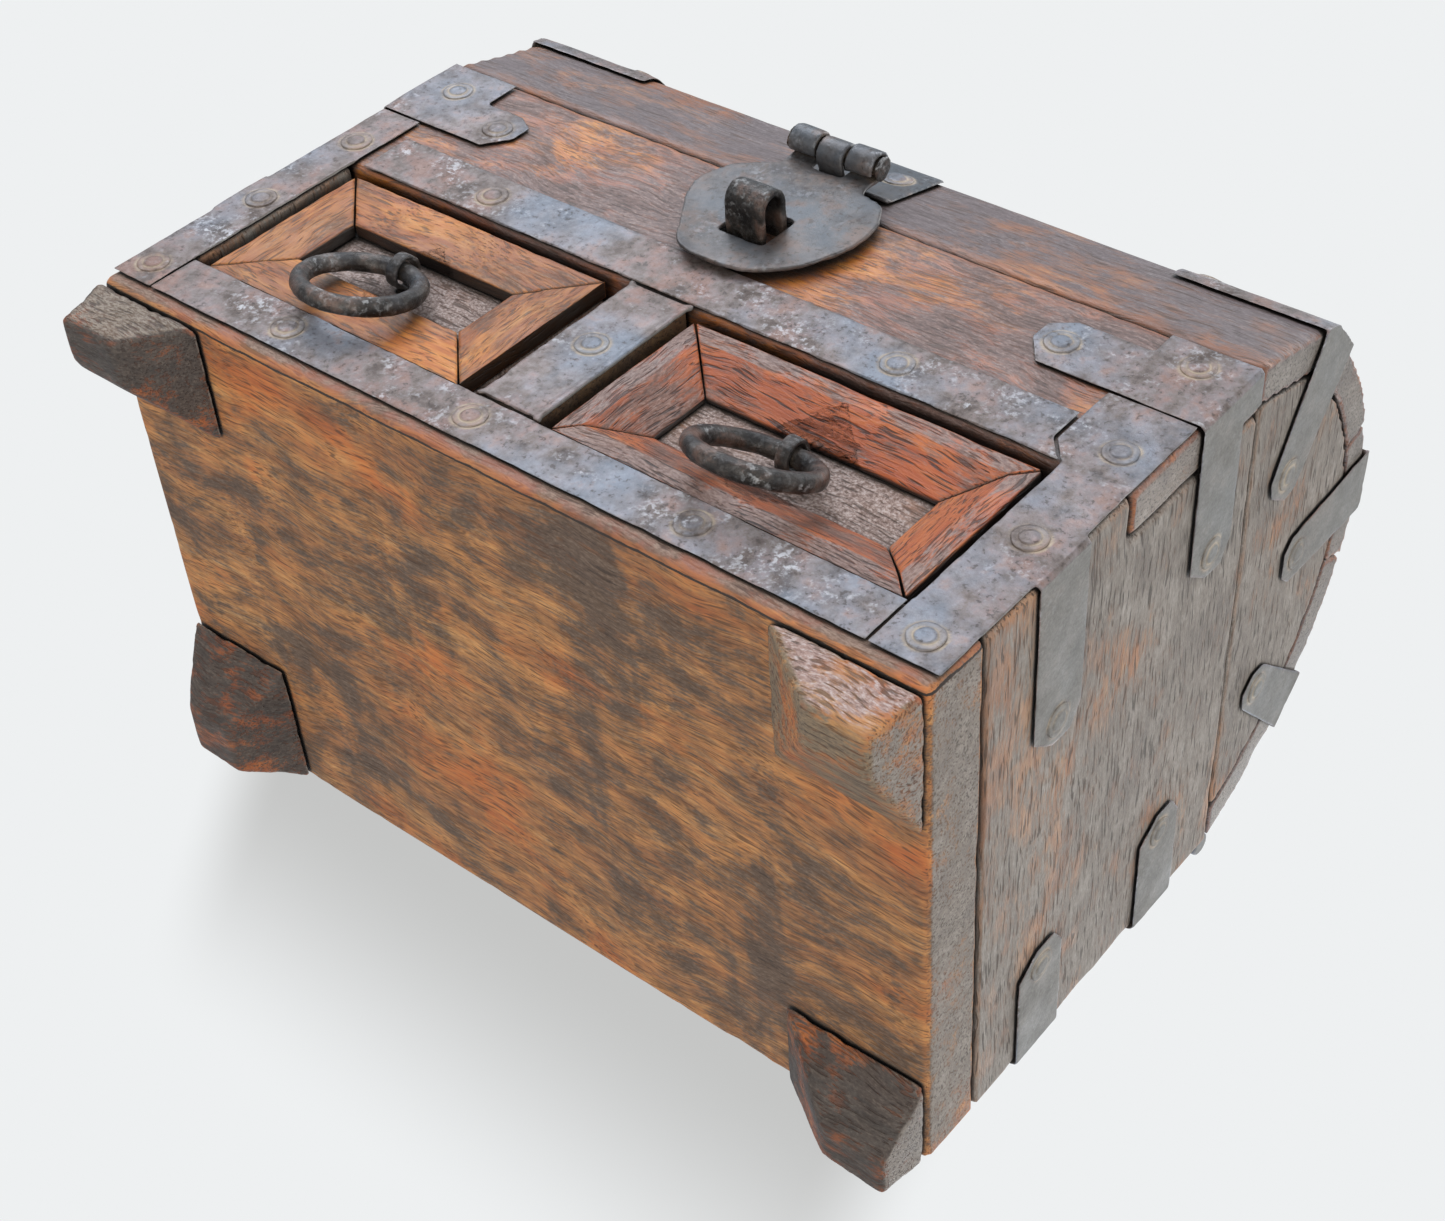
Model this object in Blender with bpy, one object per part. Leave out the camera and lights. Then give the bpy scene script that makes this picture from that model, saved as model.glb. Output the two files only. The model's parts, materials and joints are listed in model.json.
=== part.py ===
# Small domed wooden chest with two drawers under a lidded compartment.
# Metres, +Z up, standing on its feet at z = 0, drawers facing -Y.
import math
import bpy
import bmesh
from mathutils import Matrix, Vector

# Case boards
CASE_WIDTH = 0.2000
CASE_DEPTH = 0.1234
CASE_HEIGHT = 0.1020
BOTTOM_THICK = 0.0152
LEFT_SIDE_THICK = 0.0114
RIGHT_SIDE_THICK = 0.0146
BACK_THICK = 0.0100
PANEL_THICK = 0.0098
FLOOR_THICK = 0.0070
PANEL_HEIGHT = 0.0434
PARTITION_THICK = 0.0124
PARTITION_OFFSET = 0.0036
FIT_GAP = 0.0003
BOARD_ROUND = 0.0007
CUT_OVERRUN = 0.0020
MERGE_DISTANCE = 1e-7
SPLIT_TOLERANCE = 1e-8
WORN_ANGLE = 30.0
SMOOTH_ANGLE = 35.0

# Feet
FOOT_HEIGHT = 0.0127
FOOT_ROUND = 0.0012
FRONT_LEFT_FOOT = {"size": (0.0300, 0.0280), "pad": (0.0155, 0.0105), "inset": (0.0025, 0.0012)}
FRONT_RIGHT_FOOT = {"size": (0.0325, 0.0336), "pad": (0.0130, 0.0095), "inset": (0.0026, 0.0015)}
BACK_LEFT_FOOT = {"size": (0.0305, 0.0340), "pad": (0.0135, 0.0140), "inset": (0.0068, 0.0060)}
BACK_RIGHT_FOOT = {"size": (0.0335, 0.0245), "pad": (0.0145, 0.0100), "inset": (0.0012, 0.0022)}

# Iron strips round the drawers
IRON_THICK = 0.0011
STRIP_LOW_EDGE = 0.0032
TOP_STRIP_WIDTH = 0.0134
TOP_STRIP_START = 0.0026
TOP_STRIP_SLANT = 0.0050
CENTRE_STRIP_WIDTH = 0.0156
RIGHT_STRIP_SPREAD = 0.0040
SLANT_GAP = 0.0006
SIDE_TAB_LOW = 0.0295
SIDE_TAB_WIDTH = 0.0150
SIDE_TAB_LENGTH = 0.0405
BEND_INSIDE = 0.0006

# Iron straps over the upper front corners
RIGHT_STRAP_REACH = 0.0388
RIGHT_STRAP_DROP = 0.0217
RIGHT_STRAP_WIDTH = 0.0146
LEFT_STRAP_REACH = 0.0330
LEFT_STRAP_DROP = 0.0235
LEFT_STRAP_WIDTH = 0.0136
CORNER_STRAP_GAP = 0.0008
CORNER_STEP_LENGTH = 0.0184
CORNER_SIDE_LENGTH = 0.0380
CORNER_SIDE_STEP = 0.0070
TIP_CLIP = 0.0045
TIP_SHARES = (0.42, 0.80)

# Iron straps over the back corners
BACK_STRAP_WIDTH = 0.0148
BACK_STRAP_LENGTH = 0.0290
BACK_STRAP_WRAP = 0.0320
LOWER_BACK_STRAP = 0.0285
UPPER_BACK_STRAP_DROP = 0.0308

# Rivets
WASHER_RADIUS = 0.0035
WASHER_THICK = 0.0005
RIVET_RADIUS = 0.0020
RIVET_RISE = 0.0009
RIVET_CROWN_SHARE = 0.55
TIP_RIVET = 0.0055
BOTTOM_RIVET_SHARES = (0.192, 0.470, 0.768)
TOP_RIVET_SHARES = (0.187, 0.793)
UPRIGHT_RIVET_SHARES = (0.080, 0.460, 0.820)
CENTRE_RIVET_SHARE = 0.53
LEAF_RIVET_SHARES = (0.24, 0.76)
RIVET_SIDES = 8

# Lid
SEAM_GAP = 0.0008
LID_BACK_INSET = 0.0005
LID_WALL = 0.0080
LID_END_THICK = 0.0100
LID_FRONT_SLOPE = 76.0
SHOULDER_RADIUS = 0.0045
SHOULDER_SLOPE = 41.5
BROW_RADIUS_SHARE = 1.377
BROW_SLOPE = 34.5
CROWN_RADIUS_SHARE = 0.455
CROWN_SLOPE = -18.5
BACK_RADIUS_SHARE = 0.649
BACK_SLOPE = -66.0
STAVE_END_SHARES = (0.215, 0.410, 0.605, 0.800)
LID_STEP = 9.0

# Lid straps, placed by shares of the lid's outline from front to back
LID_STRAP_SHARES = (0.183, 0.500, 0.802)
LID_STRAP_WIDTHS = (0.0164, 0.0152, 0.0134)
LID_STRAP_DROP_SHARES = (0.274, 0.270, 0.228)
LID_STRAP_TURNS = (15.0, 4.0, 0.0)
LID_STRAP_REACH = 0.0330
LID_TIP_SHARE = 0.80
LID_TIP_CLIP = 0.0030
STRAP_EDGE = 0.00015

# Back hinges
HINGE_PIN_RADIUS = 0.0015
PIN_CLEARANCE = 0.00015
PIN_HEAD = 0.0006
PIN_HEAD_SINK = 0.0005
HINGE_BARREL = 0.0260
HINGE_END_INSET = 0.0012
HINGE_LEAF_LENGTH = 0.0138
KNUCKLE_NOTCH = 0.0028
CURL = 290.0
CURL_STEP = 24.0

# Hasp
HASP_THICK = 0.0013
HASP_PIN_RADIUS = 0.0020
HASP_PIVOT_RISE = 0.0098
HASP_BARREL = 0.0210
HASP_MIDDLE = 0.0022
HASP_TAIL = 0.0153
HASP_SPREAD = 0.0215
HASP_EDGE_SHARES = (
    (0.52, 0.155),
    (0.79, 0.185),
    (0.98, 0.345),
    (0.97, 0.555),
    (0.78, 0.800),
    (0.38, 0.975),
    (-0.34, 1.000),
    (-0.45, 0.930),
    (-0.98, 0.510),
    (-0.84, 0.275),
    (-0.46, 0.140),
)
HASP_NOTCH = 0.0042
HASP_STANDOFF = 0.00175
HASP_LEAF_WIDTH = 0.0270
HASP_LEAF_LENGTH = 0.0270
HASP_LEAF_BEND = 0.0022
HASP_LEAF_JOG = 60.0
HASP_LEAF_END = 0.0060
HASP_LEAF_RIVET = 0.0130

# Staple through the hasp
STAPLE_REACH = 0.0120
STAPLE_WIDTH = 0.0095
STAPLE_THICK = 0.0018
STAPLE_RADIUS = 0.0032
STAPLE_DROP = 0.0174
STAPLE_OFFSET = 0.0017
STAPLE_DEPTH = 0.0085
SLOT_SIDE_CLEARANCE = 0.0006
SLOT_HEIGHT_CLEARANCE = 0.0011

# Drawers
LEFT_DRAWER_GAPS = (0.0029, 0.0050)
LEFT_DRAWER_TOP_GAP = 0.0024
LEFT_RIM_SHARE = 0.3136
LEFT_RIM_DROP = 0.0006
LEFT_PANEL_DEPTH = 0.0040
RIGHT_DRAWER_GAPS = (0.0021, 0.0015)
RIGHT_DRAWER_TOP_GAP = 0.0026
RIGHT_RIM_SHARE = 0.1067
RIGHT_BEVEL_SHARE = 0.2134
RIGHT_BEVEL_DROP = 0.0045
RIGHT_PANEL_DEPTH = 0.0060
DRAWER_LIFT = 0.0005
DRAWER_SETBACK = 0.0002
DRAWER_BACK_GAP = 0.0042
DRAWER_WALL = 0.0055
DRAWER_FLOOR = 0.0050
DRAWER_FRONT = 0.0060

# Ring pulls
RING_RADIUS = 0.0115
RING_WIRE = 0.0021
LEFT_RING_TILT = 16.0
RIGHT_RING_TILT = 30.0
EYE_THICK = 0.0011
EYE_WIDTH = 0.0032
EYE_CLEARANCE = 0.0005
EYE_STAND = 0.0007
LEG_GAP = 0.0004
LEG_BEND = 0.0010
LEG_FOLD_SHARE = 0.173
RING_STEPS = 28
WIRE_SIDES = 10

# Places worked out from the sizes above
STRIP_MIDDLE = FIT_GAP + IRON_THICK / 2
STRIP_FACE = FIT_GAP + IRON_THICK
HINGE_MID_RADIUS = HINGE_PIN_RADIUS + PIN_CLEARANCE + IRON_THICK / 2
HINGE_REACH = STRIP_FACE + 2 * HINGE_MID_RADIUS
CASE_MIDDLE_Y = (STAPLE_REACH - HINGE_REACH) / 2
FRONT = CASE_MIDDLE_Y - CASE_DEPTH / 2
BACK = CASE_MIDDLE_Y + CASE_DEPTH / 2
HALF = CASE_WIDTH / 2
UNDERSIDE = FOOT_HEIGHT
BAY_FLOOR = UNDERSIDE + BOTTOM_THICK
SEAM = UNDERSIDE + CASE_HEIGHT
BAY_TOP = SEAM - PANEL_HEIGHT
LID_BASE = SEAM + SEAM_GAP
LID_DEPTH = CASE_DEPTH - LID_BACK_INSET
BAY_LEFT = -HALF + LEFT_SIDE_THICK
BAY_RIGHT = HALF - RIGHT_SIDE_THICK
CENTRE_LEFT = -PARTITION_OFFSET - CENTRE_STRIP_WIDTH / 2
CENTRE_RIGHT = -PARTITION_OFFSET + CENTRE_STRIP_WIDTH / 2
BEND = BEND_INSIDE + IRON_THICK / 2
BEND_START = HALF + STRIP_MIDDLE - BEND
HINGE_AXIS = Vector((0, BACK + STRIP_MIDDLE + HINGE_MID_RADIUS, SEAM + SEAM_GAP / 2))
HASP_MID_RADIUS = HASP_PIN_RADIUS + PIN_CLEARANCE + HASP_THICK / 2
HASP_PLANE = FRONT - HASP_STANDOFF - HASP_THICK / 2
HASP_AXIS = Vector((-HASP_MIDDLE, HASP_PLANE - HASP_MID_RADIUS, SEAM + HASP_PIVOT_RISE))
HASP_LENGTH = HASP_PIVOT_RISE + STAPLE_DROP + HASP_TAIL
EYE_MID_RADIUS = RING_WIRE + EYE_CLEARANCE + EYE_THICK / 2

# A sheet's bending plane is the world's Y and Z, and its width lies along X
SIDEWAYS = Matrix(((0, 0, 1, 0), (1, 0, 0, 0), (0, 1, 0, 0), (0, 0, 0, 1)))
MIRRORED = Matrix.Diagonal((-1, 1, 1, 1))
SIDES = {"left": MIRRORED, "right": Matrix.Identity(4)}


def finish(name, colour, roughness, metallic=0.0):
    """A Principled material with one colour."""
    material = bpy.data.materials.new(name)
    material.use_nodes = True
    shader = material.node_tree.nodes["Principled BSDF"]
    shader.inputs["Base Color"].default_value = (*colour, 1)
    shader.inputs["Roughness"].default_value = roughness
    shader.inputs["Metallic"].default_value = metallic
    material.diffuse_color = (*colour, 1)
    return material


def make_object(name, bm, material):
    bmesh.ops.remove_doubles(bm, verts=bm.verts, dist=MERGE_DISTANCE)
    bmesh.ops.recalc_face_normals(bm, faces=bm.faces)
    mesh = bpy.data.meshes.new(name)
    bm.to_mesh(mesh)
    bm.free()
    mesh.materials.append(material)
    obj = bpy.data.objects.new(name, mesh)
    bpy.context.scene.collection.objects.link(obj)
    return obj


def worn_edges(obj, width, segments=1):
    bevel = obj.modifiers.new("worn edges", "BEVEL")
    bevel.width = width
    bevel.segments = segments
    bevel.limit_method = "ANGLE"
    bevel.angle_limit = math.radians(WORN_ANGLE)


def add_boolean(obj, other, operation):
    """Joins or cuts with a helper that isn't a part itself."""
    other.hide_render = True
    other.display_type = "WIRE"
    boolean = obj.modifiers.new(other.name, "BOOLEAN")
    boolean.operation = operation
    boolean.solver = "EXACT"
    boolean.object = other


def smooth(obj):
    obj.data.shade_smooth()
    obj.data.set_sharp_from_angle(angle=math.radians(SMOOTH_ANGLE))


def box(name, low, high, material):
    """A block between two corners."""
    bm = bmesh.new()
    bmesh.ops.create_cube(bm, size=1)
    low = Vector(low)
    size = Vector(high) - low
    bmesh.ops.scale(bm, vec=size, verts=bm.verts)
    bmesh.ops.translate(bm, vec=low + size / 2, verts=bm.verts)
    return make_object(name, bm, material)


def board(name, low, high, material):
    """A block of wood with its edges worn."""
    obj = box(name, low, high, material)
    worn_edges(obj, BOARD_ROUND)
    return obj


def prism(name, outline, axis, low, high, material):
    """An outline pushed along a world axis; its points are the other two coordinates, in order."""
    order = {"X": (2, 0, 1), "Y": (0, 2, 1), "Z": (0, 1, 2)}[axis]
    bm = bmesh.new()
    verts = []
    for a, b in outline:
        point = (a, b, low)
        verts.append(bm.verts.new([point[k] for k in order]))
    face = bm.faces.new(verts)
    grown = bmesh.ops.extrude_face_region(bm, geom=[face])
    moved = [item for item in grown["geom"] if isinstance(item, bmesh.types.BMVert)]
    push = (0, 0, high - low)
    bmesh.ops.translate(bm, vec=[push[k] for k in order], verts=moved)
    return make_object(name, bm, material)


def turned(bm, profile, matrix, sides):
    """A profile of (radius, height) points spun about its own axis."""
    older = set(bm.verts)
    verts = [bm.verts.new((radius, 0, height)) for radius, height in profile]
    edges = [bm.edges.new(pair) for pair in zip(verts, verts[1:])]
    bmesh.ops.spin(
        bm,
        geom=verts + edges,
        cent=(0, 0, 0),
        axis=(0, 0, 1),
        angle=2 * math.pi,
        steps=sides,
        use_merge=True,
    )
    bmesh.ops.transform(bm, matrix=matrix, verts=[v for v in bm.verts if v not in older])


def along(direction):
    """A turn that takes +Z to a direction."""
    return Vector(direction).to_track_quat("Z", "Y").to_matrix().to_4x4()


def rivets(name, spots, thick, material):
    """Washers with domed heads, from the middle of their sheet outwards, at (place, outward) spots."""
    washer_top = thick / 2 + WASHER_THICK
    profile = [
        (0, 0),
        (WASHER_RADIUS, 0),
        (WASHER_RADIUS, washer_top),
        (RIVET_RADIUS, washer_top),
        (RIVET_RADIUS * RIVET_CROWN_SHARE, washer_top + RIVET_RISE),
        (0, washer_top + RIVET_RISE),
    ]
    bm = bmesh.new()
    for place, outward in spots:
        turned(bm, profile, Matrix.Translation(place) @ along(outward), RIVET_SIDES)
    return make_object(name, bm, material)


def riveted(obj, spots, thick, material):
    add_boolean(obj, rivets(obj.name + "_rivets", spots, thick, material), "UNION")
    return obj


def unit(degrees):
    angle = math.radians(degrees)
    return Vector((math.cos(angle), math.sin(angle)))


def walk(runs, heading, start=(0, 0)):
    """Straight and curved runs, followed from a start: the (length, place, heading, run) of each."""
    place = Vector(start)
    gone = 0.0
    steps = []
    for run in runs + [("line", 0.0)]:
        steps.append((gone, place, heading, run))
        length = run_length(run)
        place, heading = step_on(place, heading, run, length)
        gone += length
    return steps


def run_length(run):
    if run[0] == "line":
        return run[1]
    return run[1] * math.radians(abs(run[2]))


def step_on(place, heading, run, length):
    """The place and heading a length further along a run."""
    if run[0] == "line":
        return place + length * unit(heading), heading
    side = math.copysign(1, run[2])
    hub = place + side * run[1] * unit(heading + 90)
    heading = heading + side * math.degrees(length / run[1])
    return hub - side * run[1] * unit(heading + 90), heading


def spot(steps, length):
    """Where a walk has come to after a length: its place and heading."""
    found = steps[0]
    for step in steps:
        if step[0] <= length:
            found = step
    gone, place, heading, run = found
    return step_on(place, heading, run, length - gone)


def bend_marks(steps, angle):
    """The lengths at which a walk's curves need a point, one for each step of an angle."""
    marks = []
    for gone, _, _, run in steps:
        marks.append(gone)
        if run[0] == "arc":
            count = math.ceil(abs(run[2]) / angle)
            marks += [gone + run_length(run) * k / count for k in range(1, count)]
    return marks


def bent(steps, length, width, rise):
    """A point of a flat sheet carried to its bent place."""
    place, heading = spot(steps, length)
    place = place + rise * unit(heading + 90)
    return Vector((place.x, place.y, width))


def sheet(name, outline, steps, thick, matrix, material, rivet_spots=(), face=1):
    """A flat outline of (length, width) points bent along a walk, with rivets on one of its faces."""
    bm = bmesh.new()
    bm.faces.new([bm.verts.new((length, width, -thick / 2)) for length, width in outline])
    low = min(length for length, _ in outline)
    high = max(length for length, _ in outline)
    for mark in bend_marks(steps, CURL_STEP):
        if low < mark < high:
            bmesh.ops.bisect_plane(
                bm,
                geom=bm.verts[:] + bm.edges[:] + bm.faces[:],
                dist=SPLIT_TOLERANCE,
                plane_co=(mark, 0, 0),
                plane_no=(1, 0, 0),
            )
    grown = bmesh.ops.extrude_face_region(bm, geom=bm.faces[:])
    moved = [item for item in grown["geom"] if isinstance(item, bmesh.types.BMVert)]
    bmesh.ops.translate(bm, vec=(0, 0, thick), verts=moved)
    for vert in bm.verts:
        vert.co = matrix @ bent(steps, *vert.co)
    obj = make_object(name, bm, material)
    if rivet_spots:
        spots = []
        for length, width in rivet_spots:
            place = matrix @ bent(steps, length, width, 0)
            spots.append((place, matrix @ bent(steps, length, width, face * thick) - place))
        riveted(obj, spots, thick, material)
    return obj


def curled(axis, radius, heading, spin, runs):
    """A walk that starts with a knuckle round an axis and leaves it on a heading."""
    leaving = heading - 90 * spin
    begin = leaving - spin * CURL
    start = Vector(axis.yz) + radius * unit(begin)
    return walk([("arc", radius, spin * CURL)] + runs, begin + 90 * spin, start)


def pin(name, centre, radius, head_radius, barrel, material):
    """A round pin along X with a head at each end, from half its barrel's length outwards."""
    end = barrel + PIN_HEAD
    profile = [
        (0, -end),
        (head_radius, -end),
        (head_radius, -barrel),
        (radius, -barrel),
        (radius, barrel),
        (head_radius, barrel),
        (head_radius, end),
        (0, end),
    ]
    bm = bmesh.new()
    turned(bm, profile, Matrix.Translation(centre) @ along((1, 0, 0)), 2 * RIVET_SIDES)
    obj = make_object(name, bm, material)
    smooth(obj)
    return obj


def carry(name, point, pieces, parent=None):
    """An empty on a joint's axis that carries the pieces which move there."""
    empty = bpy.data.objects.new(name, None)
    bpy.context.scene.collection.objects.link(empty)
    empty.location = point
    if parent:
        empty.parent = parent
        empty.matrix_parent_inverse = Matrix.Translation(-parent.location)
    for piece in pieces:
        piece.parent = empty
        piece.matrix_parent_inverse = Matrix.Translation(-empty.location)
    return empty


# Case

def side_board(name, outer, inner, material):
    """A side, notched at the top for the front panel that runs across it."""
    ledge = BAY_TOP - FIT_GAP
    behind_panel = FRONT + PANEL_THICK + FIT_GAP
    outline = [
        (FRONT, BAY_FLOOR + FIT_GAP),
        (BACK, BAY_FLOOR + FIT_GAP),
        (BACK, SEAM),
        (behind_panel, SEAM),
        (behind_panel, ledge),
        (FRONT, ledge),
    ]
    obj = prism(name, outline, "X", outer, inner, material)
    worn_edges(obj, BOARD_ROUND)


def front_panel(material):
    """The board over the drawers, with two blind slots for the staple's legs."""
    panel = board("front_panel", (-HALF, FRONT, BAY_TOP), (HALF, FRONT + PANEL_THICK, SEAM), material)
    middle = Vector((-STAPLE_OFFSET, FRONT, SEAM - STAPLE_DROP))
    reach = Vector((STAPLE_WIDTH / 2 + FIT_GAP, 0, STAPLE_THICK / 2 + FIT_GAP))
    for name, side in (("lower", -1), ("upper", 1)):
        centre = middle + Vector((0, 0, side * STAPLE_RADIUS))
        low = centre - reach - Vector((0, CUT_OVERRUN, 0))
        high = centre + reach + Vector((0, STAPLE_DEPTH + FIT_GAP, 0))
        add_boolean(panel, box("staple_slot_" + name, low, high, material), "DIFFERENCE")


def boards(wood):
    inner_back = BACK - BACK_THICK
    left = BAY_LEFT + FIT_GAP
    right = BAY_RIGHT - FIT_GAP
    panel_back = FRONT + PANEL_THICK + FIT_GAP
    low = BAY_FLOOR + FIT_GAP
    board("bottom_board", (-HALF, FRONT, UNDERSIDE), (HALF, BACK, BAY_FLOOR), wood["bottom"])
    side_board("side_board_left", -HALF, BAY_LEFT, wood["side"])
    side_board("side_board_right", BAY_RIGHT, HALF, wood["side"])
    board("back_board", (left, inner_back, low), (right, BACK, SEAM), wood["side"])
    front_panel(wood["front"])
    floor_top = BAY_TOP + FLOOR_THICK
    floor_back = inner_back - FIT_GAP
    board("compartment_floor", (left, panel_back, BAY_TOP), (right, floor_back, floor_top), wood["inside"])
    post_left = -PARTITION_OFFSET - PARTITION_THICK / 2
    post_right = post_left + PARTITION_THICK
    post_top = BAY_TOP - FIT_GAP
    board("drawer_partition", (post_left, FRONT, low), (post_right, floor_back, post_top), wood["front"])


def foot(name, side, end, shape, material):
    """A block under a corner of the case that tapers to its own small pad."""
    corner = Vector((side * HALF, CASE_MIDDLE_Y + end * CASE_DEPTH / 2, 0))
    size = Vector(shape["size"])
    pad_size = Vector(shape["pad"])
    inset = Vector(shape["inset"])
    inner = corner - Vector((side * size.x, end * size.y, 0))
    low = (min(corner.x, inner.x), min(corner.y, inner.y), 0)
    high = (max(corner.x, inner.x), max(corner.y, inner.y), FOOT_HEIGHT - FIT_GAP)
    obj = box(name, low, high, material)
    bm = bmesh.new()
    bm.from_mesh(obj.data)
    pad = [vert for vert in bm.verts if vert.co.z < FOOT_HEIGHT / 2]
    shares = (pad_size.x / size.x, pad_size.y / size.y, 1)
    bmesh.ops.scale(bm, vec=shares, space=Matrix.Translation(-corner), verts=pad)
    bmesh.ops.translate(bm, vec=(-side * inset.x, -end * inset.y, 0), verts=pad)
    bm.to_mesh(obj.data)
    bm.free()
    worn_edges(obj, FOOT_ROUND, 2)


# Iron on the case

def on_face(across):
    """Length along a corner's walk of a place on the front or back, from its distance to the middle."""
    return across - BEND_START


def on_side(depth):
    """Length along a corner's walk of a place on the side, from its depth behind the corner."""
    return BEND * math.pi / 2 + depth + STRIP_MIDDLE - BEND


def corner_walk(end):
    """The way round the right front (-1) or back (1) corner, from its face onto the side."""
    face = CASE_MIDDLE_Y + end * (CASE_DEPTH / 2 + STRIP_MIDDLE)
    return walk([("line", 0.0), ("arc", BEND, -90 * end)], 0, (BEND_START, face))


def tip(length, low, width, inwards):
    """The clipped end of a strap, from its lower corner to its upper one."""
    return [
        (length + inwards * TIP_CLIP, low),
        (length, low + width * TIP_SHARES[0]),
        (length, low + width * TIP_SHARES[1]),
        (length + inwards * TIP_CLIP, low + width),
    ]


def flat_strip(name, outline, rivet_places, material):
    """An iron strip flat on the front, its outline in X and Z."""
    obj = prism(name, outline, "Y", FRONT - STRIP_FACE, FRONT - FIT_GAP, material)
    spots = [((x, FRONT - STRIP_MIDDLE, z), (0, -1, 0)) for x, z in rivet_places]
    riveted(obj, spots, IRON_THICK, material)


def upright_strip(side, inner, top, spread, material):
    """The strip down a front corner, with a tab bent onto the side of the case."""
    low = UNDERSIDE + STRIP_LOW_EDGE
    tab = UNDERSIDE + SIDE_TAB_LOW
    edge = on_face(inner)
    wide = edge - spread
    outline = [(edge, low), (0, low), (0, tab)]
    outline += tip(on_side(SIDE_TAB_LENGTH), tab, SIDE_TAB_WIDTH, -1)
    outline += [(0, tab + SIDE_TAB_WIDTH), (0, top), (wide, top)]
    if spread:
        outline += [(wide, BAY_TOP + TOP_STRIP_SLANT), (edge, BAY_TOP)]
    places = [(edge / 2, low + share * (top - low)) for share in UPRIGHT_RIVET_SHARES]
    places.append((on_side(SIDE_TAB_LENGTH - TIP_RIVET), tab + SIDE_TAB_WIDTH / 2))
    sheet("strip_" + side, outline, corner_walk(-1), IRON_THICK, SIDES[side], material, places, -1)


def front_strips(material):
    low = UNDERSIDE + STRIP_LOW_EDGE
    left = BAY_LEFT + FIT_GAP
    right = BAY_RIGHT - FIT_GAP
    middle = (low + BAY_FLOOR) / 2
    outline = [(left, low), (right, low), (right, BAY_FLOOR), (left, BAY_FLOOR)]
    places = [(left + share * (right - left), middle) for share in BOTTOM_RIVET_SHARES]
    flat_strip("strip_bottom", outline, places, material)
    start = BAY_LEFT + TOP_STRIP_START
    slanted = BAY_RIGHT - RIGHT_STRIP_SPREAD - SLANT_GAP
    high = BAY_TOP + TOP_STRIP_WIDTH
    outline = [
        (start, BAY_TOP),
        (BAY_RIGHT - SLANT_GAP, BAY_TOP),
        (slanted, BAY_TOP + TOP_STRIP_SLANT),
        (slanted, high),
        (start, high),
    ]
    middle = (BAY_TOP + high) / 2
    places = [(start + share * (slanted - start), middle) for share in TOP_RIVET_SHARES]
    flat_strip("strip_top", outline, places, material)
    low = BAY_FLOOR + FIT_GAP
    high = BAY_TOP - FIT_GAP
    outline = [(CENTRE_LEFT, low), (CENTRE_RIGHT, low), (CENTRE_RIGHT, high), (CENTRE_LEFT, high)]
    places = [(-PARTITION_OFFSET, low + CENTRE_RIVET_SHARE * (high - low))]
    flat_strip("strip_centre", outline, places, material)
    top = SEAM - RIGHT_STRAP_DROP - FIT_GAP
    upright_strip("right", BAY_RIGHT, top, RIGHT_STRIP_SPREAD, material)
    top = SEAM - LEFT_STRAP_DROP - FIT_GAP
    upright_strip("left", -BAY_LEFT, top, 0, material)


def corner_strap(side, reach, low, width, material):
    """The strap round an upper front corner, taller where it lies near the corner."""
    high = low + width
    top = SEAM - CORNER_STRAP_GAP
    front_tip = on_face(HALF - reach)
    side_tip = on_side(CORNER_SIDE_LENGTH)
    outline = tip(front_tip, low, width, 1)
    outline += [(on_face(HALF - CORNER_STEP_LENGTH), high), (on_face(HALF - CORNER_STEP_LENGTH), top)]
    outline += [(on_side(CORNER_SIDE_STEP), top), (on_side(CORNER_SIDE_STEP), high)]
    outline += reversed(tip(side_tip, low, width, -1))
    places = [
        (front_tip + TIP_RIVET, low + width / 2),
        (on_face(HALF - CORNER_STEP_LENGTH / 2), high),
        (side_tip - TIP_RIVET, low + width / 2),
    ]
    name = "strap_front_upper_" + side
    sheet(name, outline, corner_walk(-1), IRON_THICK, SIDES[side], material, places, -1)


def back_strap(name, side, low, material):
    """A plain strap round a back corner."""
    back_tip = on_face(HALF - BACK_STRAP_WRAP)
    side_tip = on_side(BACK_STRAP_LENGTH)
    outline = tip(back_tip, low, BACK_STRAP_WIDTH, 1)
    outline += reversed(tip(side_tip, low, BACK_STRAP_WIDTH, -1))
    middle = low + BACK_STRAP_WIDTH / 2
    places = [(back_tip + TIP_RIVET, middle), (side_tip - TIP_RIVET, middle)]
    sheet(name, outline, corner_walk(1), IRON_THICK, SIDES[side], material, places, 1)


def case_leaf(side, material):
    """The hinge leaf on the back of the case, with two knuckles and the pin held in them."""
    straight = [("line", HINGE_LEAF_LENGTH)]
    steps = curled(HINGE_AXIS, HINGE_MID_RADIUS, -90, 1, straight)
    knuckle = run_length(("arc", HINGE_MID_RADIUS, CURL))
    notch = knuckle + KNUCKLE_NOTCH
    end = knuckle + HINGE_LEAF_LENGTH
    outer = HALF - HINGE_END_INSET
    inner = outer - HINGE_BARREL
    third = HINGE_BARREL / 3
    low = inner + third - FIT_GAP / 2
    high = outer - third + FIT_GAP / 2
    outline = [(0, inner), (end, inner), (end, outer), (0, outer)]
    outline += [(0, high), (notch, high), (notch, low), (0, low)]
    places = [(end - TIP_RIVET, inner + share * HINGE_BARREL) for share in LEAF_RIVET_SHARES]
    matrix = SIDES[side] @ SIDEWAYS
    leaf = sheet("hinge_case_leaf_" + side, outline, steps, IRON_THICK, matrix, material, places, 1)
    centre = SIDES[side] @ (HINGE_AXIS + Vector(((inner + outer) / 2, 0, 0)))
    sunk = HINGE_BARREL / 2 - PIN_HEAD_SINK
    held = pin("hinge_pin_" + side, centre, HINGE_PIN_RADIUS, HINGE_MID_RADIUS, sunk, material)
    add_boolean(leaf, held, "UNION")


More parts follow.
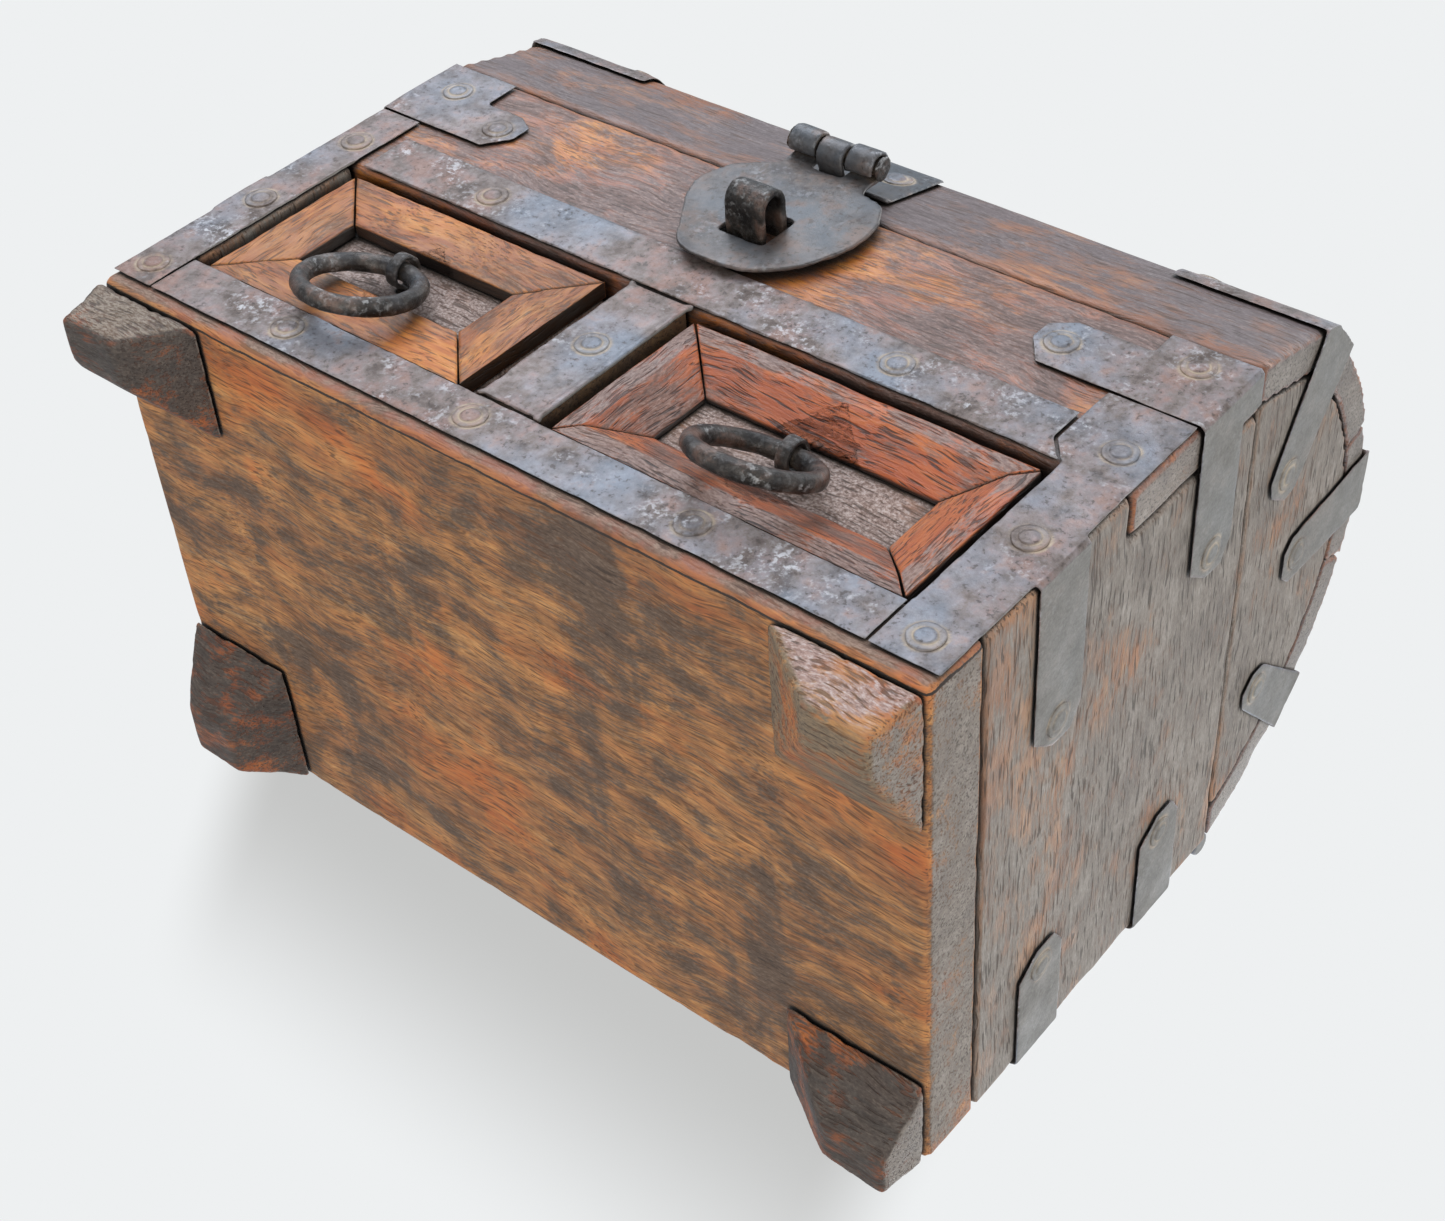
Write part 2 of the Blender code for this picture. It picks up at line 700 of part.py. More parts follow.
def staple(material):
    """A strip bent into a loop whose two legs go into the front panel."""
    hub = FRONT - STAPLE_REACH + STAPLE_THICK / 2 + STAPLE_RADIUS
    leg = FRONT + STAPLE_DEPTH - hub
    middle = SEAM - STAPLE_DROP
    runs = [("line", leg), ("arc", STAPLE_RADIUS, -180), ("line", leg)]
    steps = walk(runs, 180, (hub + leg, middle - STAPLE_RADIUS))
    end = steps[-1][0]
    low = -STAPLE_OFFSET - STAPLE_WIDTH / 2
    high = low + STAPLE_WIDTH
    outline = [(0, low), (end, low), (end, high), (0, high)]
    sheet("staple", outline, steps, STAPLE_THICK, SIDEWAYS, material)


# Lid

def lid_line():
    """The lid's outer line from its front foot over the top to its back foot, closed on the case's depth."""
    curves = [
        ("arc", SHOULDER_RADIUS, SHOULDER_SLOPE - LID_FRONT_SLOPE),
        ("arc", BROW_RADIUS_SHARE * LID_DEPTH, BROW_SLOPE - SHOULDER_SLOPE),
        ("arc", CROWN_RADIUS_SHARE * LID_DEPTH, CROWN_SLOPE - BROW_SLOPE),
        ("arc", BACK_RADIUS_SHARE * LID_DEPTH, BACK_SLOPE - CROWN_SLOPE),
    ]
    need = Vector((LID_DEPTH, 0)) - walk(curves, LID_FRONT_SLOPE)[-1][1]
    up = unit(LID_FRONT_SLOPE)
    down = unit(BACK_SLOPE)
    rise = need.cross(down) / up.cross(down)
    drop = up.cross(need) / up.cross(down)
    runs = [("line", rise)] + curves + [("line", drop)]
    return walk(runs, LID_FRONT_SLOPE, (FRONT, LID_BASE))


LID_LINE = lid_line()
LID_LENGTH = LID_LINE[-1][0]
LID_RISE = LID_LINE[1][0]
LID_DROP = LID_LENGTH - LID_LINE[-2][0]


def under_line(length, depth):
    """A point of the lid's line carried inwards."""
    place, heading = spot(LID_LINE, length)
    return place - depth * unit(heading + 90)


def shell_line(low, high, depth):
    """The lid's line between two lengths, carried inwards, with a mitre where the shoulder is too tight."""
    start = LID_RISE
    end = LID_LINE[2][0]
    tight = depth > SHOULDER_RADIUS
    points = []
    for length in sorted({low, high, *[m for m in bend_marks(LID_LINE, LID_STEP) if low < m < high]}):
        if tight and start <= length <= end:
            if length == start:
                half_turn = math.radians(LID_FRONT_SLOPE - SHOULDER_SLOPE) / 2
                deeper = (depth - SHOULDER_RADIUS) / math.cos(half_turn)
                points.append(under_line((start + end) / 2, SHOULDER_RADIUS + deeper))
            continue
        points.append(under_line(length, depth))
    if depth > 0 and low == 0:
        points[0] = Vector((FRONT + depth / math.sin(math.radians(LID_FRONT_SLOPE)), LID_BASE))
    if depth > 0 and high == LID_LENGTH:
        foot_y = FRONT + LID_DEPTH + depth / math.sin(math.radians(BACK_SLOPE))
        points[-1] = Vector((foot_y, LID_BASE))
    return points


def lid_boards(wood):
    """Five long boards round the lid's line, over an end board at each side."""
    names = ("lid_front_rail", "lid_stave_front", "lid_stave_top", "lid_stave_back", "lid_back_rail")
    ends = [share * LID_LENGTH for share in STAVE_END_SHARES]
    lows = [0] + [end + FIT_GAP / 2 for end in ends]
    highs = [end - FIT_GAP / 2 for end in ends] + [LID_LENGTH]
    pieces = []
    for name, low, high in zip(names, lows, highs):
        outline = shell_line(low, high, 0) + shell_line(low, high, LID_WALL)[::-1]
        pieces.append(prism(name, outline, "X", -HALF, HALF, wood["lid"]))
    outline = shell_line(0, LID_LENGTH, LID_WALL + FIT_GAP)
    for side, matrix in SIDES.items():
        inner = HALF - LID_END_THICK
        low, high = sorted((matrix @ Vector((inner, 0, 0))).x for inner in (inner, HALF))
        pieces.append(prism("lid_end_" + side, outline, "X", low, high, wood["side"]))
    return pieces


def lid_strap(name, side, share, width, drop_share, turn, material):
    """A strap over the lid's end: a band along the top and a leg down the end board."""
    middle = share * LID_LENGTH
    low = middle - width / 2
    high = middle + width / 2
    flip = -1 if side == "left" else 1
    outline = shell_line(low, high, -STRIP_FACE) + shell_line(low, high, -FIT_GAP)[::-1]
    ends = (flip * (HALF - LID_STRAP_REACH), flip * (HALF + STRIP_FACE - STRAP_EDGE))
    band = prism(name, outline, "X", min(ends), max(ends), material)
    place, heading = spot(LID_LINE, middle)
    down = unit(heading - 90 + turn)
    across = unit(heading + turn) * width / 2 * LID_TIP_SHARE
    end = place + drop_share * LID_DEPTH * down
    clip = LID_TIP_CLIP
    leg = shell_line(low + STRAP_EDGE, high - STRAP_EDGE, STRAP_EDGE - STRIP_FACE)
    leg += [end + across - clip * down, end + across - clip * across.normalized()]
    leg += [end - across + clip * across.normalized(), end - across - clip * down]
    faces = (flip * (HALF + FIT_GAP), flip * (HALF + STRIP_FACE))
    add_boolean(band, prism(name + "_leg", leg, "X", min(faces), max(faces), material), "UNION")
    inside = end - TIP_RIVET * down
    top = place + STRIP_MIDDLE * unit(heading + 90)
    outward = unit(heading + 90)
    spots = [
        ((flip * (HALF + STRIP_MIDDLE), inside.x, inside.y), (flip, 0, 0)),
        ((flip * (HALF - LID_STRAP_REACH + TIP_RIVET), top.x, top.y), (0, outward.x, outward.y)),
    ]
    return riveted(band, spots, IRON_THICK, material)


def lid_leaf(side, material):
    """The hinge leaf on the back of the lid, with the middle knuckle."""
    up = unit(BACK_SLOPE + 180)
    leaving = Vector(HINGE_AXIS.yz) + HINGE_MID_RADIUS * unit(BACK_SLOPE - 90)
    foot_place = LID_LINE[-1][1]
    straight = (foot_place - leaving).dot(up) + LID_DROP
    round_back = BACK_RADIUS_SHARE * LID_DEPTH + STRIP_MIDDLE
    over = math.degrees((HINGE_LEAF_LENGTH - straight) / round_back)
    runs = [("line", straight), ("arc", round_back, over)]
    steps = curled(HINGE_AXIS, HINGE_MID_RADIUS, BACK_SLOPE + 180, -1, runs)
    knuckle = run_length(("arc", HINGE_MID_RADIUS, CURL))
    notch = knuckle + KNUCKLE_NOTCH
    end = knuckle + HINGE_LEAF_LENGTH
    outer = HALF - HINGE_END_INSET
    inner = outer - HINGE_BARREL
    third = HINGE_BARREL / 3
    low = inner + third + FIT_GAP / 2
    high = outer - third - FIT_GAP / 2
    outline = [(0, low), (notch, low), (notch, inner), (end, inner)]
    outline += [(end, outer), (notch, outer), (notch, high), (0, high)]
    places = [(end - TIP_RIVET, inner + share * HINGE_BARREL) for share in LEAF_RIVET_SHARES]
    matrix = SIDES[side] @ SIDEWAYS
    return sheet("hinge_lid_leaf_" + side, outline, steps, IRON_THICK, matrix, material, places, -1)


# Hasp

def hasp_lid_leaf(material):
    """The leaf that carries the hasp's pin, set back onto the lid and bent over its shoulder."""
    foot_place = Vector((FRONT, LID_BASE))
    outward = unit(LID_FRONT_SLOPE + 90)
    leaving_heading = LID_FRONT_SLOPE - HASP_LEAF_JOG
    jog = math.radians(HASP_LEAF_JOG)
    off = HASP_THICK / 2 + FIT_GAP
    away = (Vector(HASP_AXIS.yz) - foot_place).dot(outward) - off
    away -= HASP_MID_RADIUS * math.cos(jog) + HASP_LEAF_BEND * (1 - math.cos(jog))
    back = away / math.sin(jog)
    runs = [("line", back), ("arc", HASP_LEAF_BEND, HASP_LEAF_JOG)]
    steps = curled(HASP_AXIS, HASP_MID_RADIUS, leaving_heading, 1, runs)
    landed = (steps[-1][1] - foot_place).dot(unit(LID_FRONT_SLOPE))
    brow = BROW_RADIUS_SHARE * LID_DEPTH + off
    runs += [("line", LID_RISE - landed), ("arc", SHOULDER_RADIUS + off, SHOULDER_SLOPE - LID_FRONT_SLOPE)]
    gone = sum(run_length(run) for run in runs)
    over = math.degrees((HASP_LEAF_LENGTH + back - gone) / brow)
    if over > 0:
        runs.append(("arc", brow, -over))
    steps = curled(HASP_AXIS, HASP_MID_RADIUS, leaving_heading, 1, runs)
    knuckle = run_length(("arc", HASP_MID_RADIUS, CURL))
    end = knuckle + back + HASP_LEAF_LENGTH
    narrow = HASP_BARREL / 6 - FIT_GAP / 2
    wide = HASP_LEAF_WIDTH / 2
    leaf_start = knuckle + back
    outline = [(0, narrow), (leaf_start, narrow), (leaf_start, wide), (end - HASP_LEAF_END, wide)]
    outline += [(end, wide - HASP_LEAF_END), (end, HASP_LEAF_END - wide), (end - HASP_LEAF_END, -wide)]
    outline += [(leaf_start, -wide), (leaf_start, -narrow), (0, -narrow)]
    outline = [(length, across - HASP_MIDDLE) for length, across in outline]
    middle = leaf_start + HASP_LEAF_RIVET
    places = [(middle, share * HASP_LEAF_WIDTH - wide - HASP_MIDDLE) for share in LEAF_RIVET_SHARES]
    return sheet("hasp_lid_leaf", outline, steps, HASP_THICK, SIDEWAYS, material, places, 1)


def hasp_plate(material):
    """The swinging plate with its two knuckles and the slot that drops over the staple."""
    steps = curled(HASP_AXIS, HASP_MID_RADIUS, -90, -1, [("line", HASP_LENGTH)])
    knuckle = run_length(("arc", HASP_MID_RADIUS, CURL))
    notch = knuckle + HASP_NOTCH
    narrow = HASP_BARREL / 6 + FIT_GAP / 2
    wide = HASP_BARREL / 2
    outline = [(0, narrow), (0, wide), (notch, wide)]
    outline += [(knuckle + share * HASP_LENGTH, across * HASP_SPREAD) for across, share in HASP_EDGE_SHARES]
    outline += [(notch, -wide), (0, -wide), (0, -narrow), (notch, -narrow), (notch, narrow)]
    outline = [(length, across - HASP_MIDDLE) for length, across in outline]
    plate = sheet("hasp_plate", outline, steps, HASP_THICK, SIDEWAYS, material)
    centre = Vector((-STAPLE_OFFSET, HASP_PLANE, SEAM - STAPLE_DROP))
    half_width = STAPLE_WIDTH / 2 + SLOT_SIDE_CLEARANCE
    half_height = STAPLE_RADIUS + STAPLE_THICK / 2 + SLOT_HEIGHT_CLEARANCE
    reach = Vector((half_width, HASP_THICK / 2 + CUT_OVERRUN, half_height))
    add_boolean(plate, box("hasp_slot", centre - reach, centre + reach, material), "DIFFERENCE")
    return plate


# Drawers

def moulding(name, low, high, front, section, material):
    """A mitred frame round a drawer's front, its section given as (inset, depth) points."""
    bm = bmesh.new()
    rings = []
    for inset, depth in section:
        left, right = low[0] + inset, high[0] - inset
        bottom, top = low[1] + inset, high[1] - inset
        corners = ((left, bottom), (right, bottom), (right, top), (left, top))
        rings.append([bm.verts.new((x, front + depth, z)) for x, z in corners])
    for ring, following in zip(rings, rings[1:] + rings[:1]):
        for k in range(4):
            bm.faces.new((ring[k], ring[k - 1], following[k - 1], following[k]))
    return make_object(name, bm, material)


def eye(name, centre, board_back, fold, material):
    """A strip bent round into an eye, its two legs through the drawer's front and spread behind it."""
    leg = (LEG_GAP + EYE_THICK) / 2
    rise = math.asin((leg + LEG_BEND) / (EYE_MID_RADIUS + LEG_BEND))
    flare = 90 - math.degrees(rise)
    neck = centre.y + (EYE_MID_RADIUS + LEG_BEND) * math.cos(rise)
    inside = board_back + FIT_GAP + EYE_THICK / 2
    straight = inside - LEG_BEND - neck
    runs = [("line", fold), ("arc", LEG_BEND, 90), ("line", straight), ("arc", LEG_BEND, flare)]
    runs += [("arc", EYE_MID_RADIUS, -180 - 2 * flare), ("arc", LEG_BEND, flare)]
    runs += [("line", straight), ("arc", LEG_BEND, 90), ("line", fold)]
    steps = walk(runs, 90, (inside, centre.z - leg - LEG_BEND - fold))
    end = steps[-1][0]
    low = centre.x - EYE_WIDTH / 2
    outline = [(0, low), (end, low), (end, low + EYE_WIDTH), (0, low + EYE_WIDTH)]
    return sheet(name, outline, steps, EYE_THICK, SIDEWAYS, material)


def ring_pull(name, tilt, material):
    """A ring hanging from the origin, its lower end tilted towards -Y."""
    bm = bmesh.new()
    top = Matrix.Translation((0, 0, RING_RADIUS)) @ along((1, 0, 0))
    circle = bmesh.ops.create_circle(bm, segments=WIRE_SIDES, radius=RING_WIRE, matrix=top)
    bmesh.ops.spin(
        bm,
        geom=circle["verts"] + bm.edges[:],
        cent=(0, 0, 0),
        axis=(0, 1, 0),
        angle=2 * math.pi,
        steps=RING_STEPS,
        use_merge=True,
    )
    bmesh.ops.translate(bm, vec=(0, 0, -RING_RADIUS), verts=bm.verts)
    bmesh.ops.rotate(bm, matrix=Matrix.Rotation(-math.radians(tilt), 3, "X"), verts=bm.verts)
    obj = make_object(name, bm, material)
    smooth(obj)
    return obj


def drawer(side, left, right, high, section, panel_depth, tilt, colours):
    """A drawer: its front board and moulding, its box, its eye and its ring."""
    low = BAY_FLOOR + DRAWER_LIFT
    face = FRONT + DRAWER_SETBACK
    panel = face + panel_depth
    panel_back = panel + DRAWER_FRONT
    box_front = panel_back + FIT_GAP
    box_back = BACK - BACK_THICK - DRAWER_BACK_GAP
    name = "drawer_" + side
    face_wood = colours["drawer_" + side]
    wood = colours["inside"]
    front = board(name + "_front", (left, panel, low), (right, panel_back, high), face_wood)
    frame = moulding(name + "_moulding", (left, low), (right, high), face, section, face_wood)
    pieces = [front, frame]
    floor_top = low + DRAWER_FLOOR
    wall_low = floor_top + FIT_GAP
    inner_left = left + DRAWER_WALL
    inner_right = right - DRAWER_WALL
    pieces.append(board(name + "_bottom", (left, box_front, low), (right, box_back, floor_top), wood))
    for wall, near, far in (("_side_left", left, inner_left), ("_side_right", inner_right, right)):
        pieces.append(board(name + wall, (near, box_front, wall_low), (far, box_back, high), wood))
    back_low = (inner_left + FIT_GAP, box_back - DRAWER_WALL, wall_low)
    pieces.append(board(name + "_back", back_low, (inner_right - FIT_GAP, box_back, high), wood))
    hole_y = panel - EYE_MID_RADIUS - EYE_THICK / 2 - EYE_STAND
    hole = Vector(((left + right) / 2, hole_y, (low + high) / 2))
    fold = LEG_FOLD_SHARE * (high - low)
    pieces.append(eye("pull_eye_" + side, hole, panel_back, fold, colours["iron"]))
    reach = Vector((EYE_WIDTH / 2 + FIT_GAP, 0, LEG_GAP / 2 + EYE_THICK + FIT_GAP))
    slot_low = Vector((hole.x, panel - CUT_OVERRUN, hole.z)) - reach
    slot_high = Vector((hole.x, panel_back + CUT_OVERRUN, hole.z)) + reach
    add_boolean(front, box(name + "_eye_slot", slot_low, slot_high, wood), "DIFFERENCE")
    carrier = carry(name, Vector((hole.x, face, low)), pieces)
    ring = ring_pull("pull_ring_" + side, tilt, colours["iron"])
    ring.parent = carrier
    ring.matrix_parent_inverse = Matrix.Translation(-carrier.location)
    ring.location = hole


def drawers(colours):
    """Both drawers, each fitted into its bay, with mouldings that are shares of their heights."""
    low = BAY_FLOOR + DRAWER_LIFT
    high = BAY_TOP - LEFT_DRAWER_TOP_GAP
    rim = LEFT_RIM_SHARE * (high - low)
    left_section = [
        (0, 0),
        (rim, LEFT_RIM_DROP),
        (rim, LEFT_PANEL_DEPTH - FIT_GAP),
        (0, LEFT_PANEL_DEPTH - FIT_GAP),
    ]
    ends = (BAY_LEFT + LEFT_DRAWER_GAPS[0], CENTRE_LEFT - LEFT_DRAWER_GAPS[1])
    drawer("left", *ends, high, left_section, LEFT_PANEL_DEPTH, LEFT_RING_TILT, colours)
    high = BAY_TOP - RIGHT_DRAWER_TOP_GAP
    rim = RIGHT_RIM_SHARE * (high - low)
    inner = rim + RIGHT_BEVEL_SHARE * (high - low)
    right_section = [
        (0, 0),
        (rim, 0),
        (inner, RIGHT_BEVEL_DROP),
        (inner, RIGHT_PANEL_DEPTH - FIT_GAP),
        (0, RIGHT_PANEL_DEPTH - FIT_GAP),
    ]
    ends = (CENTRE_RIGHT + RIGHT_DRAWER_GAPS[0], BAY_RIGHT - RIGHT_DRAWER_GAPS[1])
    drawer("right", *ends, high, right_section, RIGHT_PANEL_DEPTH, RIGHT_RING_TILT, colours)


def build():
    for obj in list(bpy.data.objects):
        bpy.data.objects.remove(obj, do_unlink=True)
    colours = {
        "bottom": finish("bottom_wood", (0.130, 0.072, 0.038), 0.62),
        "side": finish("side_wood", (0.085, 0.056, 0.038), 0.68),
        "front": finish("front_wood", (0.095, 0.036, 0.022), 0.45),
        "lid": finish("lid_wood", (0.080, 0.042, 0.027), 0.55),
        "inside": finish("inside_wood", (0.120, 0.075, 0.045), 0.80),
        "drawer_left": finish("left_drawer_wood", (0.150, 0.070, 0.032), 0.55),
        "drawer_right": finish("right_drawer_wood", (0.090, 0.035, 0.022), 0.50),
        "foot": finish("foot_wood", (0.100, 0.060, 0.040), 0.75),
        "iron": finish("dark_iron", (0.060, 0.050, 0.045), 0.50, 0.85),
    }
    iron = colours["iron"]
    boards(colours)
    foot("foot_front_left", -1, -1, FRONT_LEFT_FOOT, colours["foot"])
    foot("foot_front_right", 1, -1, FRONT_RIGHT_FOOT, colours["foot"])
    foot("foot_back_left", -1, 1, BACK_LEFT_FOOT, colours["foot"])
    foot("foot_back_right", 1, 1, BACK_RIGHT_FOOT, colours["foot"])
    front_strips(iron)
    corner_strap("right", RIGHT_STRAP_REACH, SEAM - RIGHT_STRAP_DROP, RIGHT_STRAP_WIDTH, iron)
    corner_strap("left", LEFT_STRAP_REACH, SEAM - LEFT_STRAP_DROP, LEFT_STRAP_WIDTH, iron)
    for side in SIDES:
        back_strap("strap_back_lower_" + side, side, UNDERSIDE + LOWER_BACK_STRAP, iron)
        back_strap("strap_back_upper_" + side, side, SEAM - UPPER_BACK_STRAP_DROP, iron)
        case_leaf(side, iron)
    staple(iron)
    lid = lid_boards(colours)
    for side in SIDES:
        rows = zip(LID_STRAP_SHARES, LID_STRAP_WIDTHS, LID_STRAP_DROP_SHARES, LID_STRAP_TURNS)
        for place, row in zip(("front", "middle", "back"), rows):
            lid.append(lid_strap("lid_strap_" + place + "_" + side, side, *row, iron))
        lid.append(lid_leaf(side, iron))
    lid.append(hasp_lid_leaf(iron))
    lid_carrier = carry("lid_hinge", HINGE_AXIS, lid)
    clear = HASP_BARREL / 2 + FIT_GAP
    hasp = [hasp_plate(iron), pin("hasp_pin", HASP_AXIS, HASP_PIN_RADIUS, HASP_MID_RADIUS, clear, iron)]
    carry("hasp_hinge", HASP_AXIS, hasp, lid_carrier)
    drawers(colours)


build()
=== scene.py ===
# Small iron-bound chest with a domed lid and two drawers: its finished look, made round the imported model.
import json
import math
import bpy
import bmesh
import numpy as np
from mathutils import Matrix, Vector, noise
from mathutils.bvhtree import BVHTree


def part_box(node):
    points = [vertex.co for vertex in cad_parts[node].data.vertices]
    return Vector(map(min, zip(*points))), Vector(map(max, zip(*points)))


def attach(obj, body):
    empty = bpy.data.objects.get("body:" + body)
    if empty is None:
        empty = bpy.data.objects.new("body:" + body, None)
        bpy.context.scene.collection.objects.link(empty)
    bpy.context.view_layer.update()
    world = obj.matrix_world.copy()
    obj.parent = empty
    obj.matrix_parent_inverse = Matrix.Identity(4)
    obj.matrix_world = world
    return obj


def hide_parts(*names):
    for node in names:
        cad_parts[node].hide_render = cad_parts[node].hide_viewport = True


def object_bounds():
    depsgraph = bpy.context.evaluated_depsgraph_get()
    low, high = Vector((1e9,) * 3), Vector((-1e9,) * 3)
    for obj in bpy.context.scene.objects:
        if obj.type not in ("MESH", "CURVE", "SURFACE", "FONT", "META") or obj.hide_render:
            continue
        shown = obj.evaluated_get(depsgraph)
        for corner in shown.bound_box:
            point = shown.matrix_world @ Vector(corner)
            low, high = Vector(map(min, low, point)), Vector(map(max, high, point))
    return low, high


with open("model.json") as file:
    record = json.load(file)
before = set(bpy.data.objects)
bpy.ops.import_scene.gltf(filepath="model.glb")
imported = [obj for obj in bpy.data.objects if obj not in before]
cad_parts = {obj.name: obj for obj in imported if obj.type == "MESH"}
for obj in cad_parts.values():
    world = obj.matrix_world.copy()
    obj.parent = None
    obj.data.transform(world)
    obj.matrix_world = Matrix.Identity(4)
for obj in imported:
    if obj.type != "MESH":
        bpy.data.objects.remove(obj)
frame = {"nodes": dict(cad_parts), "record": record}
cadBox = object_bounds()
nodes = frame["nodes"]
bodyOf = {name: body for body, names in frame["record"]["behaviour"]["bodies"].items() for name in names}


# Colours and nodes

def hexColour(code):
    # sRGB hex to the linear values that a shader takes
    channels = [int(code[k:k + 2], 16) / 255 for k in (1, 3, 5)]
    return tuple(c / 12.92 if c <= 0.04045 else ((c + 0.055) / 1.055) ** 2.4 for c in channels) + (1,)


def addNode(tree, kind, inputs=None, stops=None, **settings):
    # one node with its settings, its ramp stops and its sockets set or linked; a hex string is a colour
    made = tree.nodes.new("ShaderNode" + kind)
    for name, value in settings.items():
        setattr(made, name, value)
    if stops:
        ramp = made.color_ramp
        while len(ramp.elements) < len(stops):
            ramp.elements.new(1)
        for element, (place, colour) in zip(ramp.elements, stops):
            element.position = place
            element.color = hexColour(colour) if isinstance(colour, str) else (colour, colour, colour, 1)
    for socket, value in (inputs or {}).items():
        if isinstance(value, bpy.types.NodeSocket):
            tree.links.new(value, made.inputs[socket])
        else:
            made.inputs[socket].default_value = hexColour(value) if isinstance(value, str) else value
    return made


def newMaterial(name):
    material = bpy.data.materials.new(name)
    material.use_nodes = True
    tree = material.node_tree
    return material, tree, tree.nodes["Principled BSDF"]


# How a board's grain is turned onto the pattern's own X axis
grainTurns = {
    "X": (0, 0, 0),
    "Y": (0, 0, math.radians(-90)),
    "Z": (0, math.radians(90), 0),
}

# Repeats per metre along and across the grain: growth bands 9 mm wide, grain lines 1.2 mm, dark pore strokes
# 0.3 mm by 7 mm, a skin of grime in soft flecks 6 mm by 11 mm, heat and damp marks 30 mm by 45 mm, bands of
# dust across the board every 16 mm, and specks of grit of 0.4 mm by 1.1 mm
plainScales = {
    "bands": (8, 110, 110),
    "lines": (45, 850, 850),
    "pores": (140, 1700, 1700),
    "skin": (90, 170, 170),
    "marks": (22, 34, 34),
    "cross": (62, 10, 10),
    "speck": (900, 2300, 2300),
}
# The detail of each of those patterns
patternDetail = {"bands": 3, "lines": 4, "pores": 1, "skin": 6, "marks": 6, "cross": 4, "speck": 2}
# How far from a neighbouring surface dirt gathers and painted shade reaches: round about it, and in the
# corners of wood and of iron
dirtAndShadeReach = {"around": 0.007, "wood": 0.0030, "iron": 0.0016}
# The depth of the relief in a material, for grain, pores and hammer marks alike
reliefDepth = 0.0005


